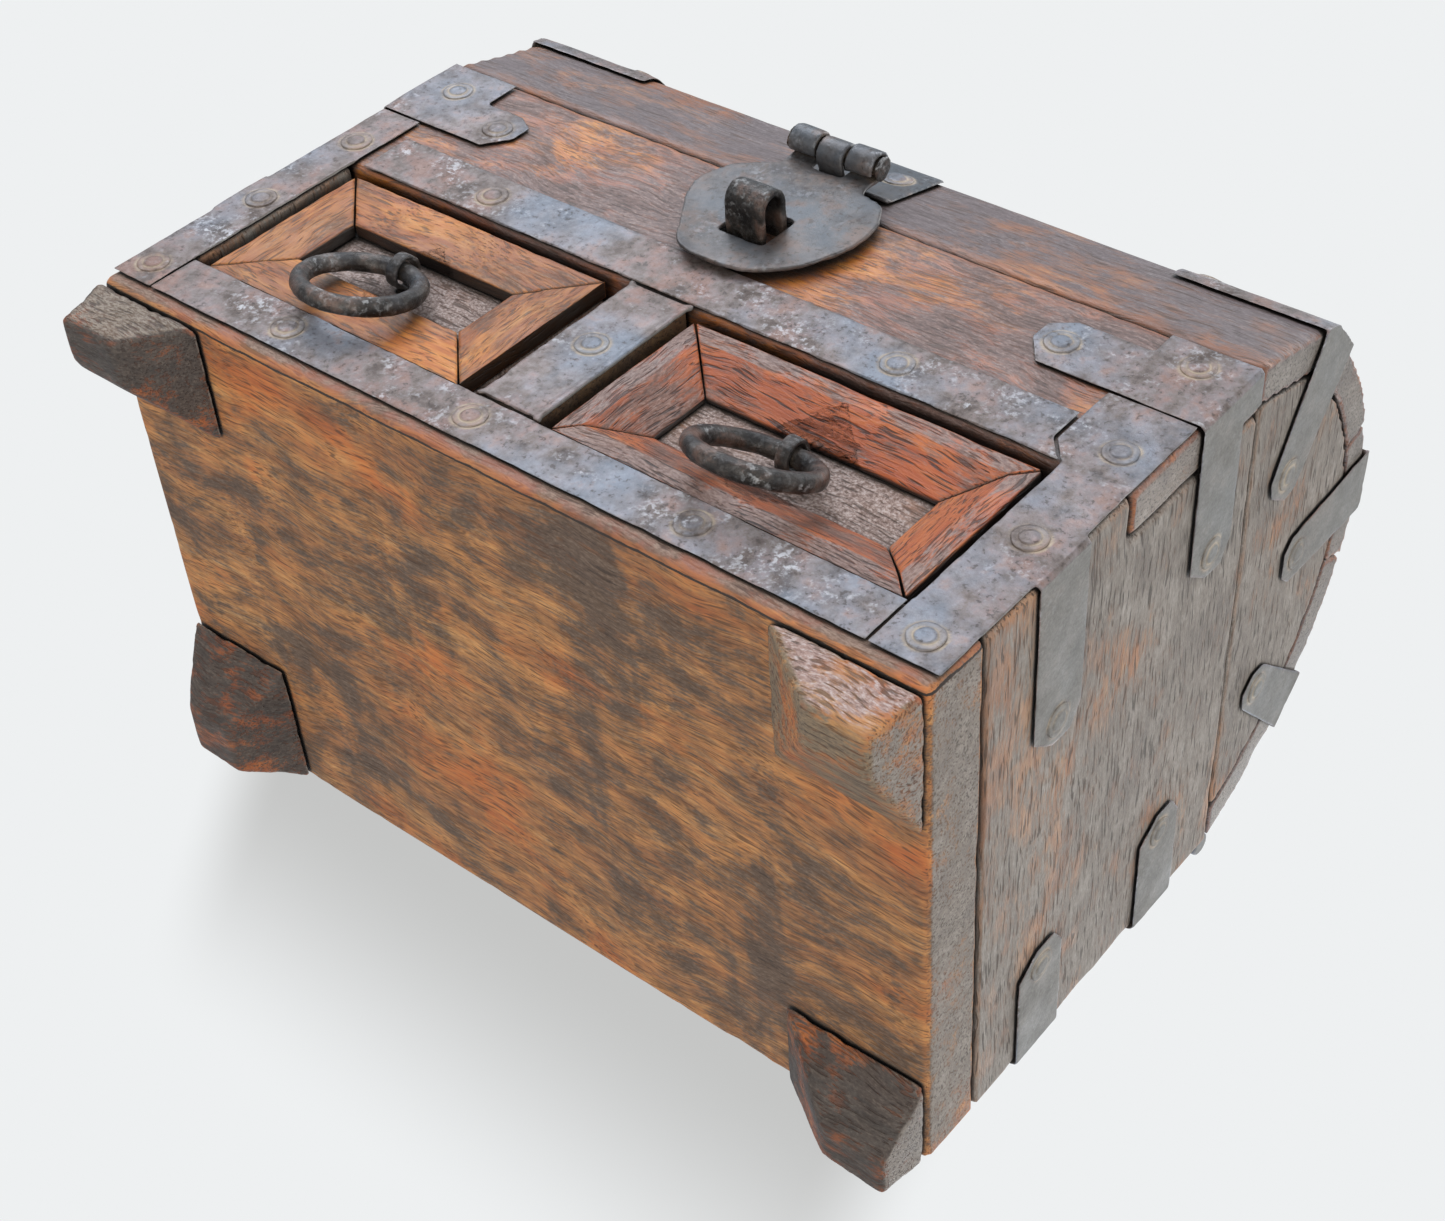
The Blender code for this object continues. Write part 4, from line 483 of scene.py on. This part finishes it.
def evenMesh(bm, name, look):
    # the shape as a fine even mesh with its edges rubbed soft
    mesh = bpy.data.meshes.new(name)
    bm.to_mesh(mesh)
    bm.free()
    rough = bpy.data.objects.new(name, mesh)
    bpy.context.scene.collection.objects.link(rough)
    even = rough.modifiers.new("even", "REMESH")
    even.mode = "VOXEL"
    even.voxel_size = look["meshStep"]
    rub = rough.modifiers.new("rub", "SMOOTH")
    rub.factor = 0.5
    rub.iterations = look["rubs"]
    graph = bpy.context.evaluated_depsgraph_get()
    fine = bpy.data.meshes.new_from_object(rough.evaluated_get(graph))
    bpy.data.objects.remove(rough)
    return fine


# A washer 7 mm across under a rivet 4 mm across, hammered nearly flat. The first four values are the solid's
# rivet: the area of its eight-sided top, its height, and how far above the top and the sheet it still counts
rivetHead = {
    "topArea": 0.5 * 8 * (0.0020 * 0.55) ** 2 * math.sin(math.radians(45)),
    "cadHeight": 0.0014,
    "aboveTop": 0.0005,
    "aboveSheet": 0.002,
    "height": 0.0006,
    "clearRadius": 0.0042,
    "washerRadius": 0.0034,
    "washerThick": 0.00028,
    "radius": 0.0020,
    "sides": 28,
    "ringWidth": 0.0004,
    "skirt": 0.0004,
    "dentLength": 0.0016,
    "dent": 0.07,
    "shrink": 0.03,
}
rivetSpots = {}


def rivetHeads(nodeName):
    # the middle and direction of each eight-sided rivet top on a CAD sheet
    bm = mergedCopy(nodeName)
    bmesh.ops.dissolve_limit(bm, angle_limit=math.radians(1), verts=bm.verts, edges=bm.edges)
    heads = []
    for face in bm.faces:
        if len(face.verts) == 8 and abs(face.calc_area() / rivetHead["topArea"] - 1) < 0.08:
            heads.append((face.calc_center_median(), face.normal.copy()))
    bm.free()
    return heads


def woodTree():
    # every board in one search tree, so that a sheet knows which of its sides lies on wood
    bm = bmesh.new()
    boards = ("bottom_", "side_", "front_", "back_", "lid_front_rail", "lid_back_rail", "lid_stave",
              "lid_end", "drawer_partition")
    for name, node in nodes.items():
        if name.startswith(boards):
            bm.from_mesh(node.data)
    tree = BVHTree.FromBMesh(bm)
    bm.free()
    return tree


boardTree = woodTree()


# How square a face stands to a direction before it is marked, and over what share the mark grows to full
facing = {"flank": (0.88, 0.08), "level": (0.93, 0.05), "aside": (0.92, 0.05)}
# A face counts as a seam of the lid when it leans less than this out of the dome and less than this endways
seamLean = {"outward": 0.4, "endways": 0.5}


def wear(mesh, look, heads=(), bend=None):
    # moves the points of an even mesh: long swells, nicked edges, iron sunk towards its board, lid boards let
    # down and swollen, and no CAD rivet where a finer one goes; then marks them for the materials
    count = len(mesh.vertices)
    flat = np.empty(count * 3)
    mesh.vertices.foreach_get("co", flat)
    points = flat.reshape(-1, 3)
    pairs = np.empty(len(mesh.edges) * 2, np.int64)
    mesh.edges.foreach_get("vertices", pairs)
    ends = pairs.reshape(-1, 2)
    links = np.bincount(pairs, minlength=count)[:, None]
    soft = points.copy()
    for _ in range(look["edgeReach"]):
        total = np.zeros_like(soft)
        np.add.at(total, ends[:, 0], soft[ends[:, 1]])
        np.add.at(total, ends[:, 1], soft[ends[:, 0]])
        soft = total / links
    normals = np.empty(count * 3)
    mesh.vertices.foreach_get("normal", normals)
    normals = normals.reshape(-1, 3)
    inward = soft - points
    convex = -(inward * normals).sum(axis=1)
    seed = Vector(look["seed"])
    swell = np.array([noise.noise((Vector(p) + seed) / look["swellLength"]) for p in points])
    nick = np.array([noise.fractal((Vector(p) + seed) / look["nickLength"], 0.8, 2.0, 3) for p in points])
    share = np.clip(look["nickShare"] + look["nickSpread"] * nick, 0, look["nickMost"])
    moved = points + inward * (share * (convex > 0))[:, None]
    moved += normals * (look["swell"] * (swell - 0.8) / 2)[:, None]
    dust = np.zeros(count)
    for place, outward in heads:
        outward = np.array(outward)
        away = points - np.array(place)
        height = away @ outward
        radial = np.linalg.norm(away - height[:, None] * outward, axis=1)
        proud = (radial < rivetHead["clearRadius"]) & (height > -rivetHead["cadHeight"])
        proud &= height < rivetHead["aboveTop"]
        moved[proud] -= (height[proud] + rivetHead["cadHeight"])[:, None] * outward
        ring = np.abs(radial - rivetHead["washerRadius"] - rivetHead["ringWidth"] / 2)
        ring /= rivetHead["ringWidth"]
        onSheet = np.abs(height + rivetHead["cadHeight"]) < rivetHead["aboveSheet"]
        dust = np.maximum(dust, np.where(onSheet, 1 - ring, 0))
    if look["sink"]:
        for number, point in enumerate(moved):
            nearest, _, _, distance = boardTree.find_nearest(Vector(point))
            lift = min(max((distance - look["sinkFrom"]) / look["sinkFrom"], 0), 1)
            if lift > 0:
                moved[number] += (np.array(nearest) - point) / distance * look["sink"] * lift
    underside = np.abs(points[:, 2] - look["base"]) < look["baseReach"]
    moved[underside, 2] -= look["settle"]
    # the faces where the lid's boards meet: neither outside nor inside of the dome, nor its ends
    outward = points[:, 1:] - np.array(look["domeMiddle"])
    outward /= np.linalg.norm(outward, axis=1)[:, None] + 0.000001
    meets = np.abs((normals[:, 1:] * outward).sum(axis=1)) < seamLean["outward"]
    meets &= np.abs(normals[:, 0]) < seamLean["endways"]
    moved[meets] += normals[meets] * look["spread"]
    if bend:
        moved = bend(moved)
    mesh.vertices.foreach_set("co", moved.reshape(-1))
    lean = {
        "flank": np.abs(normals[:, 0]),
        "level": -normals[:, 1],
        "aside": np.abs(normals[:, [0, 2]]).max(axis=1),
    }
    marks = {"edge": convex / look["edgeFull"]}
    for name, (start, width) in facing.items():
        marks[name] = (lean[name] - start) / width
    marks["dust"] = dust
    for name, values in marks.items():
        mark = mesh.attributes.new(name, "FLOAT", "POINT")
        mark.data.foreach_set("value", np.clip(values, 0, 1))
    mesh.shade_smooth()
    mesh.update()


def wornCopy(nodeName, material, look, bend=None):
    # a node's shape, fine and worn, shown in the node's place
    heads = rivetHeads(nodeName) if look["riveted"] else []
    mesh = evenMesh(mergedCopy(nodeName), nodeName + "Worn", look)
    wear(mesh, look, heads, bend)
    piece = newPiece(nodeName + "_worn", mesh, material, bodyOf[nodeName])
    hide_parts(nodeName)
    for place, outward in heads:
        base = place - outward * (rivetHead["cadHeight"] + look["sink"])
        rivetSpots.setdefault(bodyOf[nodeName], []).append((base, outward))


# Each look: the mesh's step, how often it is rubbed, how wide and deep its edges wear, how far and over what
# length it swells and is nicked, and how far it sinks towards the board under it
boardLook = {
    "meshStep": 0.0010, "rubs": 1, "edgeReach": 3, "edgeFull": 0.0004,
    "swell": 0.0002, "swellLength": 0.03, "nickShare": 0.1, "nickSpread": 0.9, "nickMost": 1.3,
    "nickLength": 0.009, "seed": (0.11, 0.23, 0.37), "sink": 0, "riveted": False,
    "base": 0, "baseReach": 0, "settle": 0, "domeMiddle": (0, 0), "spread": 0,
}
# The lid's boards are let down and swollen by this much, so that the shut lid shows lines and no light
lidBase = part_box("lid_front_rail")[0]
lidMiddle = (lidBase.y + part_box("lid_back_rail")[1].y) / 2
lidLook = {
    **boardLook, "base": lidBase.z, "baseReach": 0.0006, "settle": 0.0007, "spread": 0.0002,
    "domeMiddle": (lidMiddle, lidBase.z),
}
footLook = {
    **boardLook, "meshStep": 0.0006, "rubs": 4, "edgeReach": 6, "swell": 0.0005, "swellLength": 0.009,
    "nickLength": 0.0035, "nickSpread": 1.6, "edgeFull": 0.0006,
}
mouldingLook = {
    **boardLook, "meshStep": 0.0004, "edgeReach": 4, "swellLength": 0.014, "nickShare": 0.15,
    "mitreGap": 0.00003, "cutReach": 0.000001,
}
sheetLook = {
    "meshStep": 0.00045, "rubs": 2, "edgeReach": 3, "edgeFull": 0.0003,
    "swell": 0.00026, "swellLength": 0.008, "nickShare": 0.3, "nickSpread": 1.7, "nickMost": 1.8,
    "nickLength": 0.0055, "seed": (0.41, 0.13, 0.29), "sink": 0.00055, "sinkFrom": 0.0006,
    "riveted": True, "base": 0, "baseReach": 0, "settle": 0, "domeMiddle": (0, 0), "spread": 0,
}
# The hinge leaves keep their full thickness, so that their knuckles stay on the pin through the whole swing
hingeLook = {**sheetLook, "sink": 0, "swell": 0.00006, "nickShare": 0, "nickSpread": 0.4, "nickMost": 0.5}
forgedLook = {**sheetLook, "meshStep": 0.00035, "rubs": 3, "sink": 0, "swellLength": 0.0035, "riveted": False}
haspLook = {**forgedLook, "meshStep": 0.00045, "swellLength": 0.009}

# Which mitre cuts bound each member of a drawer's frame: the corner, as shares of the frame's width and
# height, and the direction that is cut away there
mitreCuts = {
    "bottom": (((0, 0), (-1, 1)), ((1, 0), (1, 1))),
    "top": (((0, 1), (-1, -1)), ((1, 1), (1, -1))),
    "left": (((0, 0), (1, -1)), ((0, 1), (1, 1))),
    "right": (((1, 0), (-1, -1)), ((1, 1), (-1, 1))),
}


def mitredMoulding(side, look):
    # the four mitred members of a drawer's frame, each with its grain along itself
    nodeName = "drawer_" + side + "_moulding"
    low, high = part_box(nodeName)
    for member, cuts in mitreCuts.items():
        bm = mergedCopy(nodeName)
        for (across, up), (goneX, goneZ) in cuts:
            away = Vector((goneX, 0, goneZ)).normalized()
            corner = Vector((low.x + across * (high.x - low.x), low.y, low.z + up * (high.z - low.z)))
            geom = list(bm.verts) + list(bm.edges) + list(bm.faces)
            bmesh.ops.bisect_plane(bm, geom=geom, dist=look["cutReach"], plane_no=away, clear_outer=True,
                                   plane_co=corner - away * look["mitreGap"])
            bmesh.ops.holes_fill(bm, edges=[e for e in bm.edges if e.is_boundary], sides=0)
        mesh = evenMesh(bm, nodeName + "_" + member, look)
        wear(mesh, look)
        wood = woods[side + "Drawer" + ("" if member in ("bottom", "top") else "Upright")]
        piece = newPiece(nodeName + "_" + member, mesh, wood, "drawer_" + side)
        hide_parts(nodeName)


# The hasp's lower left corner was bent out in use: where the bend starts, which way it runs, and how sharply
haspBend = {"place": (-0.0105, 0, 0.0930), "way": (-0.66, 0, -0.75), "curve": 14.0}

# The plate's outline is filed to one round sweep, save at that corner and at its top: how far each way the
# sweep evens it out, where the corner and the top lie, and how far under the pin the plate starts
haspSweep = {
    "spread": math.radians(13),
    "cornerAngle": math.radians(215),
    "cornerSpread": math.radians(16),
    "topFrom": 0.6,
    "topTo": 2.5,
    "underPin": 0.003,
    "steps": 180,
}


def sweptHasp(points):
    # evens the plate's straight-sided outline into a round one, about the staple's slot
    low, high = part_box("staple")
    centre = np.array([(low.x + high.x) / 2, (low.z + high.z) / 2])
    plate = points[:, 2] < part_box("hasp_pin")[0].z - haspSweep["underPin"]
    across = points[:, [0, 2]] - centre
    angle = np.arctan2(across[:, 1], across[:, 0])
    radius = np.linalg.norm(across, axis=1)
    steps = haspSweep["steps"]
    slot = ((angle + math.pi) / (2 * math.pi) * steps).astype(int) % steps
    outer = np.zeros(steps)
    np.maximum.at(outer, slot[plate], radius[plate])
    middles = (np.arange(steps) + 0.5) / steps * 2 * math.pi - math.pi
    apart = np.abs((middles[:, None] - middles[None, :] + math.pi) % (2 * math.pi) - math.pi)
    weight = np.exp(-(apart / haspSweep["spread"]) ** 2)
    even = (weight * outer[None, :]).sum(axis=1) / weight.sum(axis=1)
    corner = np.abs((middles - haspSweep["cornerAngle"] + math.pi) % (2 * math.pi) - math.pi)
    top = (middles > haspSweep["topFrom"]) * (middles < haspSweep["topTo"])
    keep = np.clip(np.exp(-(corner / haspSweep["cornerSpread"]) ** 2) + top, 0, 1)
    change = (even * (1 - keep) + outer * keep) / outer
    rate = np.interp(angle, middles, change, period=2 * math.pi)
    share = np.clip((radius / np.interp(angle, middles, outer, period=2 * math.pi) - 0.5) * 2, 0, 1)
    moved = points.copy()
    grown = centre + across * (1 + (rate - 1) * share)[:, None]
    moved[plate, 0] = grown[plate, 0]
    moved[plate, 2] = grown[plate, 1]
    return moved


def bendHasp(points):
    # the swept plate with its corner curled outward, more the further it lies past the bend
    points = sweptHasp(points)
    along = np.clip((points - np.array(haspBend["place"])) @ np.array(haspBend["way"]), 0, None)
    bent = points.copy()
    bent[:, 1] -= haspBend["curve"] * along ** 2
    return bent


print("boards")
wornCopy("bottom_board", woods["bottom"], boardLook)
wornCopy("front_panel", woods["front"], boardLook)
for name in ("side_board_left", "side_board_right"):
    wornCopy(name, woods["sideAlongY"], boardLook)
wornCopy("back_board", woods["side"], boardLook)
for name in ("lid_front_rail", "lid_stave_front", "lid_stave_top", "lid_stave_back", "lid_back_rail"):
    wornCopy(name, woods["lid"], lidLook)
for name in ("lid_end_left", "lid_end_right"):
    wornCopy(name, woods["sideAlongY"], lidLook)
for name in ("foot_front_left", "foot_back_left", "foot_back_right"):
    wornCopy(name, woods["foot"], footLook)
wornCopy("foot_front_right", woods["paleFoot"], footLook)
wornCopy("drawer_left_front", woods["sunkPanel"], mouldingLook)
wornCopy("drawer_right_front", woods["sunkPanel"], mouldingLook)
mitredMoulding("left", mouldingLook)
mitredMoulding("right", mouldingLook)

print("iron")
for name in nodes:
    if name.startswith(("strip_", "strap_", "lid_strap_")):
        wornCopy(name, irons["sheet"], sheetLook)
    elif name.startswith("hinge_"):
        wornCopy(name, irons["sheet"], hingeLook)
wornCopy("hasp_lid_leaf", irons["hasp"], sheetLook)
wornCopy("hasp_plate", irons["hasp"], haspLook, bendHasp)
for name in ("staple", "hasp_pin", "pull_eye_left", "pull_eye_right", "pull_ring_left", "pull_ring_right"):
    wornCopy(name, irons["forged"], forgedLook)


def rivets():
    # each washer and head is spun about its own axis; the head is dished a little by the hammer
    head = rivetHead
    thick = head["washerThick"]
    full = head["height"]
    washer = head["washerRadius"]
    inner = head["radius"]
    profile = [
        (washer, -head["skirt"]), (washer, thick * 0.6), (washer * 0.93, thick),
        (inner * 1.22, thick * 0.92), (inner * 1.08, thick * 0.45), (inner, thick * 1.15),
        (inner * 0.88, full * 0.88), (inner * 0.64, full), (inner * 0.34, full * 0.92), (0, full * 0.88),
    ]
    for body, spots in rivetSpots.items():
        bm = bmesh.new()
        dust = bm.verts.layers.float.new("dust")
        flank = bm.verts.layers.float.new("flank")
        for number, (base, outward) in enumerate(spots):
            older = set(bm.verts)
            verts = [bm.verts.new((radius, 0, height)) for radius, height in profile]
            edges = [bm.edges.new(pair) for pair in zip(verts, verts[1:])]
            bmesh.ops.spin(bm, geom=verts + edges, cent=(0, 0, 0), axis=(0, 0, 1), angle=2 * math.pi,
                           steps=head["sides"], use_merge=True)
            newer = [v for v in bm.verts if v not in older]
            flatter = 0.75 + 0.25 * noise.noise((number * 1.7, 0.3, 0))
            for vert in newer:
                radius = vert.co.xy.length
                groove = 1 - abs(radius - inner * 1.1) / head["ringWidth"]
                rim = 4 * (radius / washer - 0.9)
                vert[dust] = max(0, groove, rim)
                vert[flank] = abs(outward.x) > 0.6
                dent = noise.noise(vert.co / head["dentLength"] + Vector((number, 0, 0)))
                vert.co *= 1 + head["dent"] * dent - head["shrink"]
                vert.co.z *= flatter
            turn = outward.to_track_quat("Z", "Y").to_matrix().to_4x4()
            bmesh.ops.transform(bm, matrix=Matrix.Translation(base) @ turn, verts=newer)
        bmesh.ops.remove_doubles(bm, verts=bm.verts, dist=sameCorner)
        bmesh.ops.recalc_face_normals(bm, faces=bm.faces)
        mesh = bpy.data.meshes.new("rivets_" + body)
        bm.to_mesh(mesh)
        bm.free()
        mesh.shade_smooth()
        newPiece("rivets_" + body, mesh, irons["sheet"], body)


print("rivets")
rivets()

print("plain boards inside")
insideWoods = {"compartment_floor": "inside", "drawer_partition": "inside"}
for side in ("left", "right"):
    insideWoods["drawer_" + side + "_back"] = "inside"
    for part in ("bottom", "side_left", "side_right"):
        insideWoods["drawer_" + side + "_" + part] = "insideAlongY"
for name, wood in insideWoods.items():
    nodes[name].data.materials.clear()
    nodes[name].data.materials.append(woods[wood])


# Floor, backdrop, light and camera

def stagePlane(name, size, material, matrix):
    # a plane that only the camera sees
    bm = bmesh.new()
    bmesh.ops.create_grid(bm, x_segments=1, y_segments=1, size=size, matrix=matrix)
    mesh = bpy.data.meshes.new(name)
    bm.to_mesh(mesh)
    bm.free()
    mesh.materials.append(material)
    plane = bpy.data.objects.new(name, mesh)
    bpy.context.scene.collection.objects.link(plane)
    for ray in ("visible_shadow", "visible_diffuse", "visible_glossy", "visible_transmission"):
        setattr(plane, ray, False)


# How large the floor is each way from its middle, and between which distances it fades into the backdrop
floorLook = {"size": 3.0, "colour": "#e9e7e3", "roughness": 0.9, "fadeFrom": 0.25, "fadeTo": 0.75}


def paleFloor(look):
    # matt white paint, seen only from its upper side, that fades into the backdrop further off
    material, tree, shader = newMaterial("paleFloor")
    shader.inputs["Base Color"].default_value = hexColour(look["colour"])
    shader.inputs["Roughness"].default_value = look["roughness"]
    under = addNode(tree, "NewGeometry").outputs["Backfacing"]
    place = addNode(tree, "TexCoord").outputs["Object"]
    distance = addNode(tree, "VectorMath", {0: place}, operation="LENGTH").outputs["Value"]
    faded = addNode(tree, "MapRange", {0: distance, 1: look["fadeFrom"], 2: look["fadeTo"]},
                    interpolation_type="SMOOTHSTEP").outputs[0]
    gone = addNode(tree, "Math", {0: under, 1: faded}, operation="MAXIMUM").outputs[0]
    clear = addNode(tree, "BsdfTransparent").outputs[0]
    both = addNode(tree, "MixShader", {0: gone, 1: shader.outputs[0], 2: clear}).outputs[0]
    tree.links.new(both, tree.nodes["Material Output"].inputs["Surface"])
    return material


# The shade beside the chest on what it lies on, on a plane from the bottom board's back edge: how steeply the
# plane falls, how far the shade reaches down it, how far inside the board it starts, how dark it starts, and
# how much of each end it leaves out
restingLook = {
    "size": 0.3, "fall": math.radians(50), "reach": 0.07, "inside": 0.003, "dark": 0.45, "ends": 0.025,
    "colour": "#77736c",
}
restingEdge = Vector((0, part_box("bottom_board")[1].y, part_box("bottom_board")[0].z))


def restingShade(look):
    # the soft shade that the chest leaves in the photograph, hidden under the chest where it stands upright
    material, tree, _ = newMaterial("restingShade")
    place = addNode(tree, "TexCoord").outputs["Object"]
    across = addNode(tree, "SeparateXYZ", {0: place}).outputs["X"]
    sideways = addNode(tree, "Math", {0: across}, operation="ABSOLUTE").outputs[0]
    halfWidth = cadBox[1].x
    within = addNode(tree, "MapRange", {0: sideways, 1: halfWidth - look["ends"], 2: halfWidth, 3: 1.0,
                                        4: 0.0}, interpolation_type="SMOOTHSTEP").outputs[0]
    fromEdge = addNode(tree, "VectorMath", {0: place, 1: restingEdge}, operation="SUBTRACT").outputs[0]
    down = (0, math.sin(look["fall"]), -math.cos(look["fall"]))
    run = addNode(tree, "VectorMath", {0: fromEdge, 1: down}, operation="DOT_PRODUCT").outputs["Value"]
    faded = addNode(tree, "MapRange", {0: run, 1: 0.0, 2: look["reach"], 3: look["dark"], 4: 0.0},
                    interpolation_type="SMOOTHSTEP").outputs[0]
    beyond = addNode(tree, "Math", {0: run, 1: -look["inside"]}, operation="GREATER_THAN").outputs[0]
    under = addNode(tree, "NewGeometry").outputs["Backfacing"]
    amount = addNode(tree, "Math", {0: 1.0, 1: under}, operation="SUBTRACT").outputs[0]
    for part in (within, faded, beyond):
        amount = addNode(tree, "Math", {0: amount, 1: part}, operation="MULTIPLY").outputs[0]
    clear = addNode(tree, "BsdfTransparent").outputs[0]
    dark = addNode(tree, "Emission", {"Color": look["colour"]}).outputs[0]
    both = addNode(tree, "MixShader", {0: amount, 1: clear, 2: dark}).outputs[0]
    tree.links.new(both, tree.nodes["Material Output"].inputs["Surface"])
    return material


stagePlane("floor", floorLook["size"], paleFloor(floorLook), Matrix.Identity(4))
fallen = Matrix.Translation(restingEdge) @ Matrix.Rotation(math.radians(90) + restingLook["fall"], 4, "X")
stagePlane("restingPlane", restingLook["size"], restingShade(restingLook), fallen)

# The backdrop's colour and strength as the camera sees it, as the object is lit by it, and as it is mirrored
worldLook = {"seen": ("#eef0f1", 1.0), "light": ("#eef3fa", 0.55), "mirrored": ("#dfe7f0", 0.8)}


def studioWorld(look):
    world = bpy.data.worlds.new("studio")
    bpy.context.scene.world = world
    world.use_nodes = True
    tree = world.node_tree
    path = addNode(tree, "LightPath").outputs
    glow = {}
    for part, (colour, strength) in look.items():
        glow[part] = addNode(tree, "Background", {"Color": colour, "Strength": strength}).outputs[0]
    notSeen = addNode(tree, "MixShader", {0: path["Is Glossy Ray"], 1: glow["light"],
                                          2: glow["mirrored"]}).outputs[0]
    both = addNode(tree, "MixShader", {0: path["Is Camera Ray"], 1: notSeen, 2: glow["seen"]}).outputs[0]
    tree.links.new(both, tree.nodes["World Output"].inputs["Surface"])


studioWorld(worldLook)

# Soft lamps: where each stands, its size in metres, its power in watts and its colour
lamps = {
    "frontWindow": {"place": (-0.60, -1.05, 0.60), "size": 1.1, "power": 15, "colour": "#f2f6ff"},
    "topSoft": {"place": (0.25, -0.1, 1.25), "size": 1.0, "power": 7, "colour": "#ffffff"},
    "underSoft": {"place": (0.3, -0.6, -1.1), "size": 1.0, "power": 10, "colour": "#fff8ef"},
    "sideSoft": {"place": (1.15, -0.35, 0.35), "size": 1.0, "power": 6, "colour": "#ffffff"},
    "backSoft": {"place": (0.1, 1.2, 0.6), "size": 1.0, "power": 9, "colour": "#ffffff"},
}
lampTarget = Vector((0, 0, 0.08))
for name, lamp in lamps.items():
    light = bpy.data.lights.new(name, "AREA")
    light.shape = "SQUARE"
    light.size = lamp["size"]
    light.energy = lamp["power"]
    light.color = hexColour(lamp["colour"])[:3]
    holder = bpy.data.objects.new(name, light)
    bpy.context.scene.collection.objects.link(holder)
    holder.location = lamp["place"]
    holder.rotation_mode = "QUATERNION"
    holder.rotation_quaternion = (lampTarget - Vector(lamp["place"])).to_track_quat("-Z", "Y")

# The photograph's own angle: the chest lies on its back there, so the camera looks up at its underside
photoCamera = {
    "place": (0.24457, -0.30156, -0.19189),
    "forward": (-0.50103, 0.66728, 0.55109),
    "right": (0.77217, 0.05714, 0.63284),
    "lens": 56.63,
    "sensor": 36,
    "nearest": 0.01,
    "furthest": 20,
}


def setCamera(look):
    camera = bpy.data.cameras.new("photoCamera")
    camera.lens = look["lens"]
    camera.sensor_width = look["sensor"]
    camera.clip_start = look["nearest"]
    camera.clip_end = look["furthest"]
    holder = bpy.data.objects.new("photoCamera", camera)
    bpy.context.scene.collection.objects.link(holder)
    back = -Vector(look["forward"]).normalized()
    right = Vector(look["right"])
    right = (right - right.dot(back) * back).normalized()
    turn = Matrix((right, back.cross(right), back)).transposed().to_4x4()
    holder.matrix_world = Matrix.Translation(look["place"]) @ turn
    bpy.context.scene.camera = holder


setCamera(photoCamera)
bpy.context.scene.view_settings.view_transform = "Standard"
print("stage, lamps and camera set")
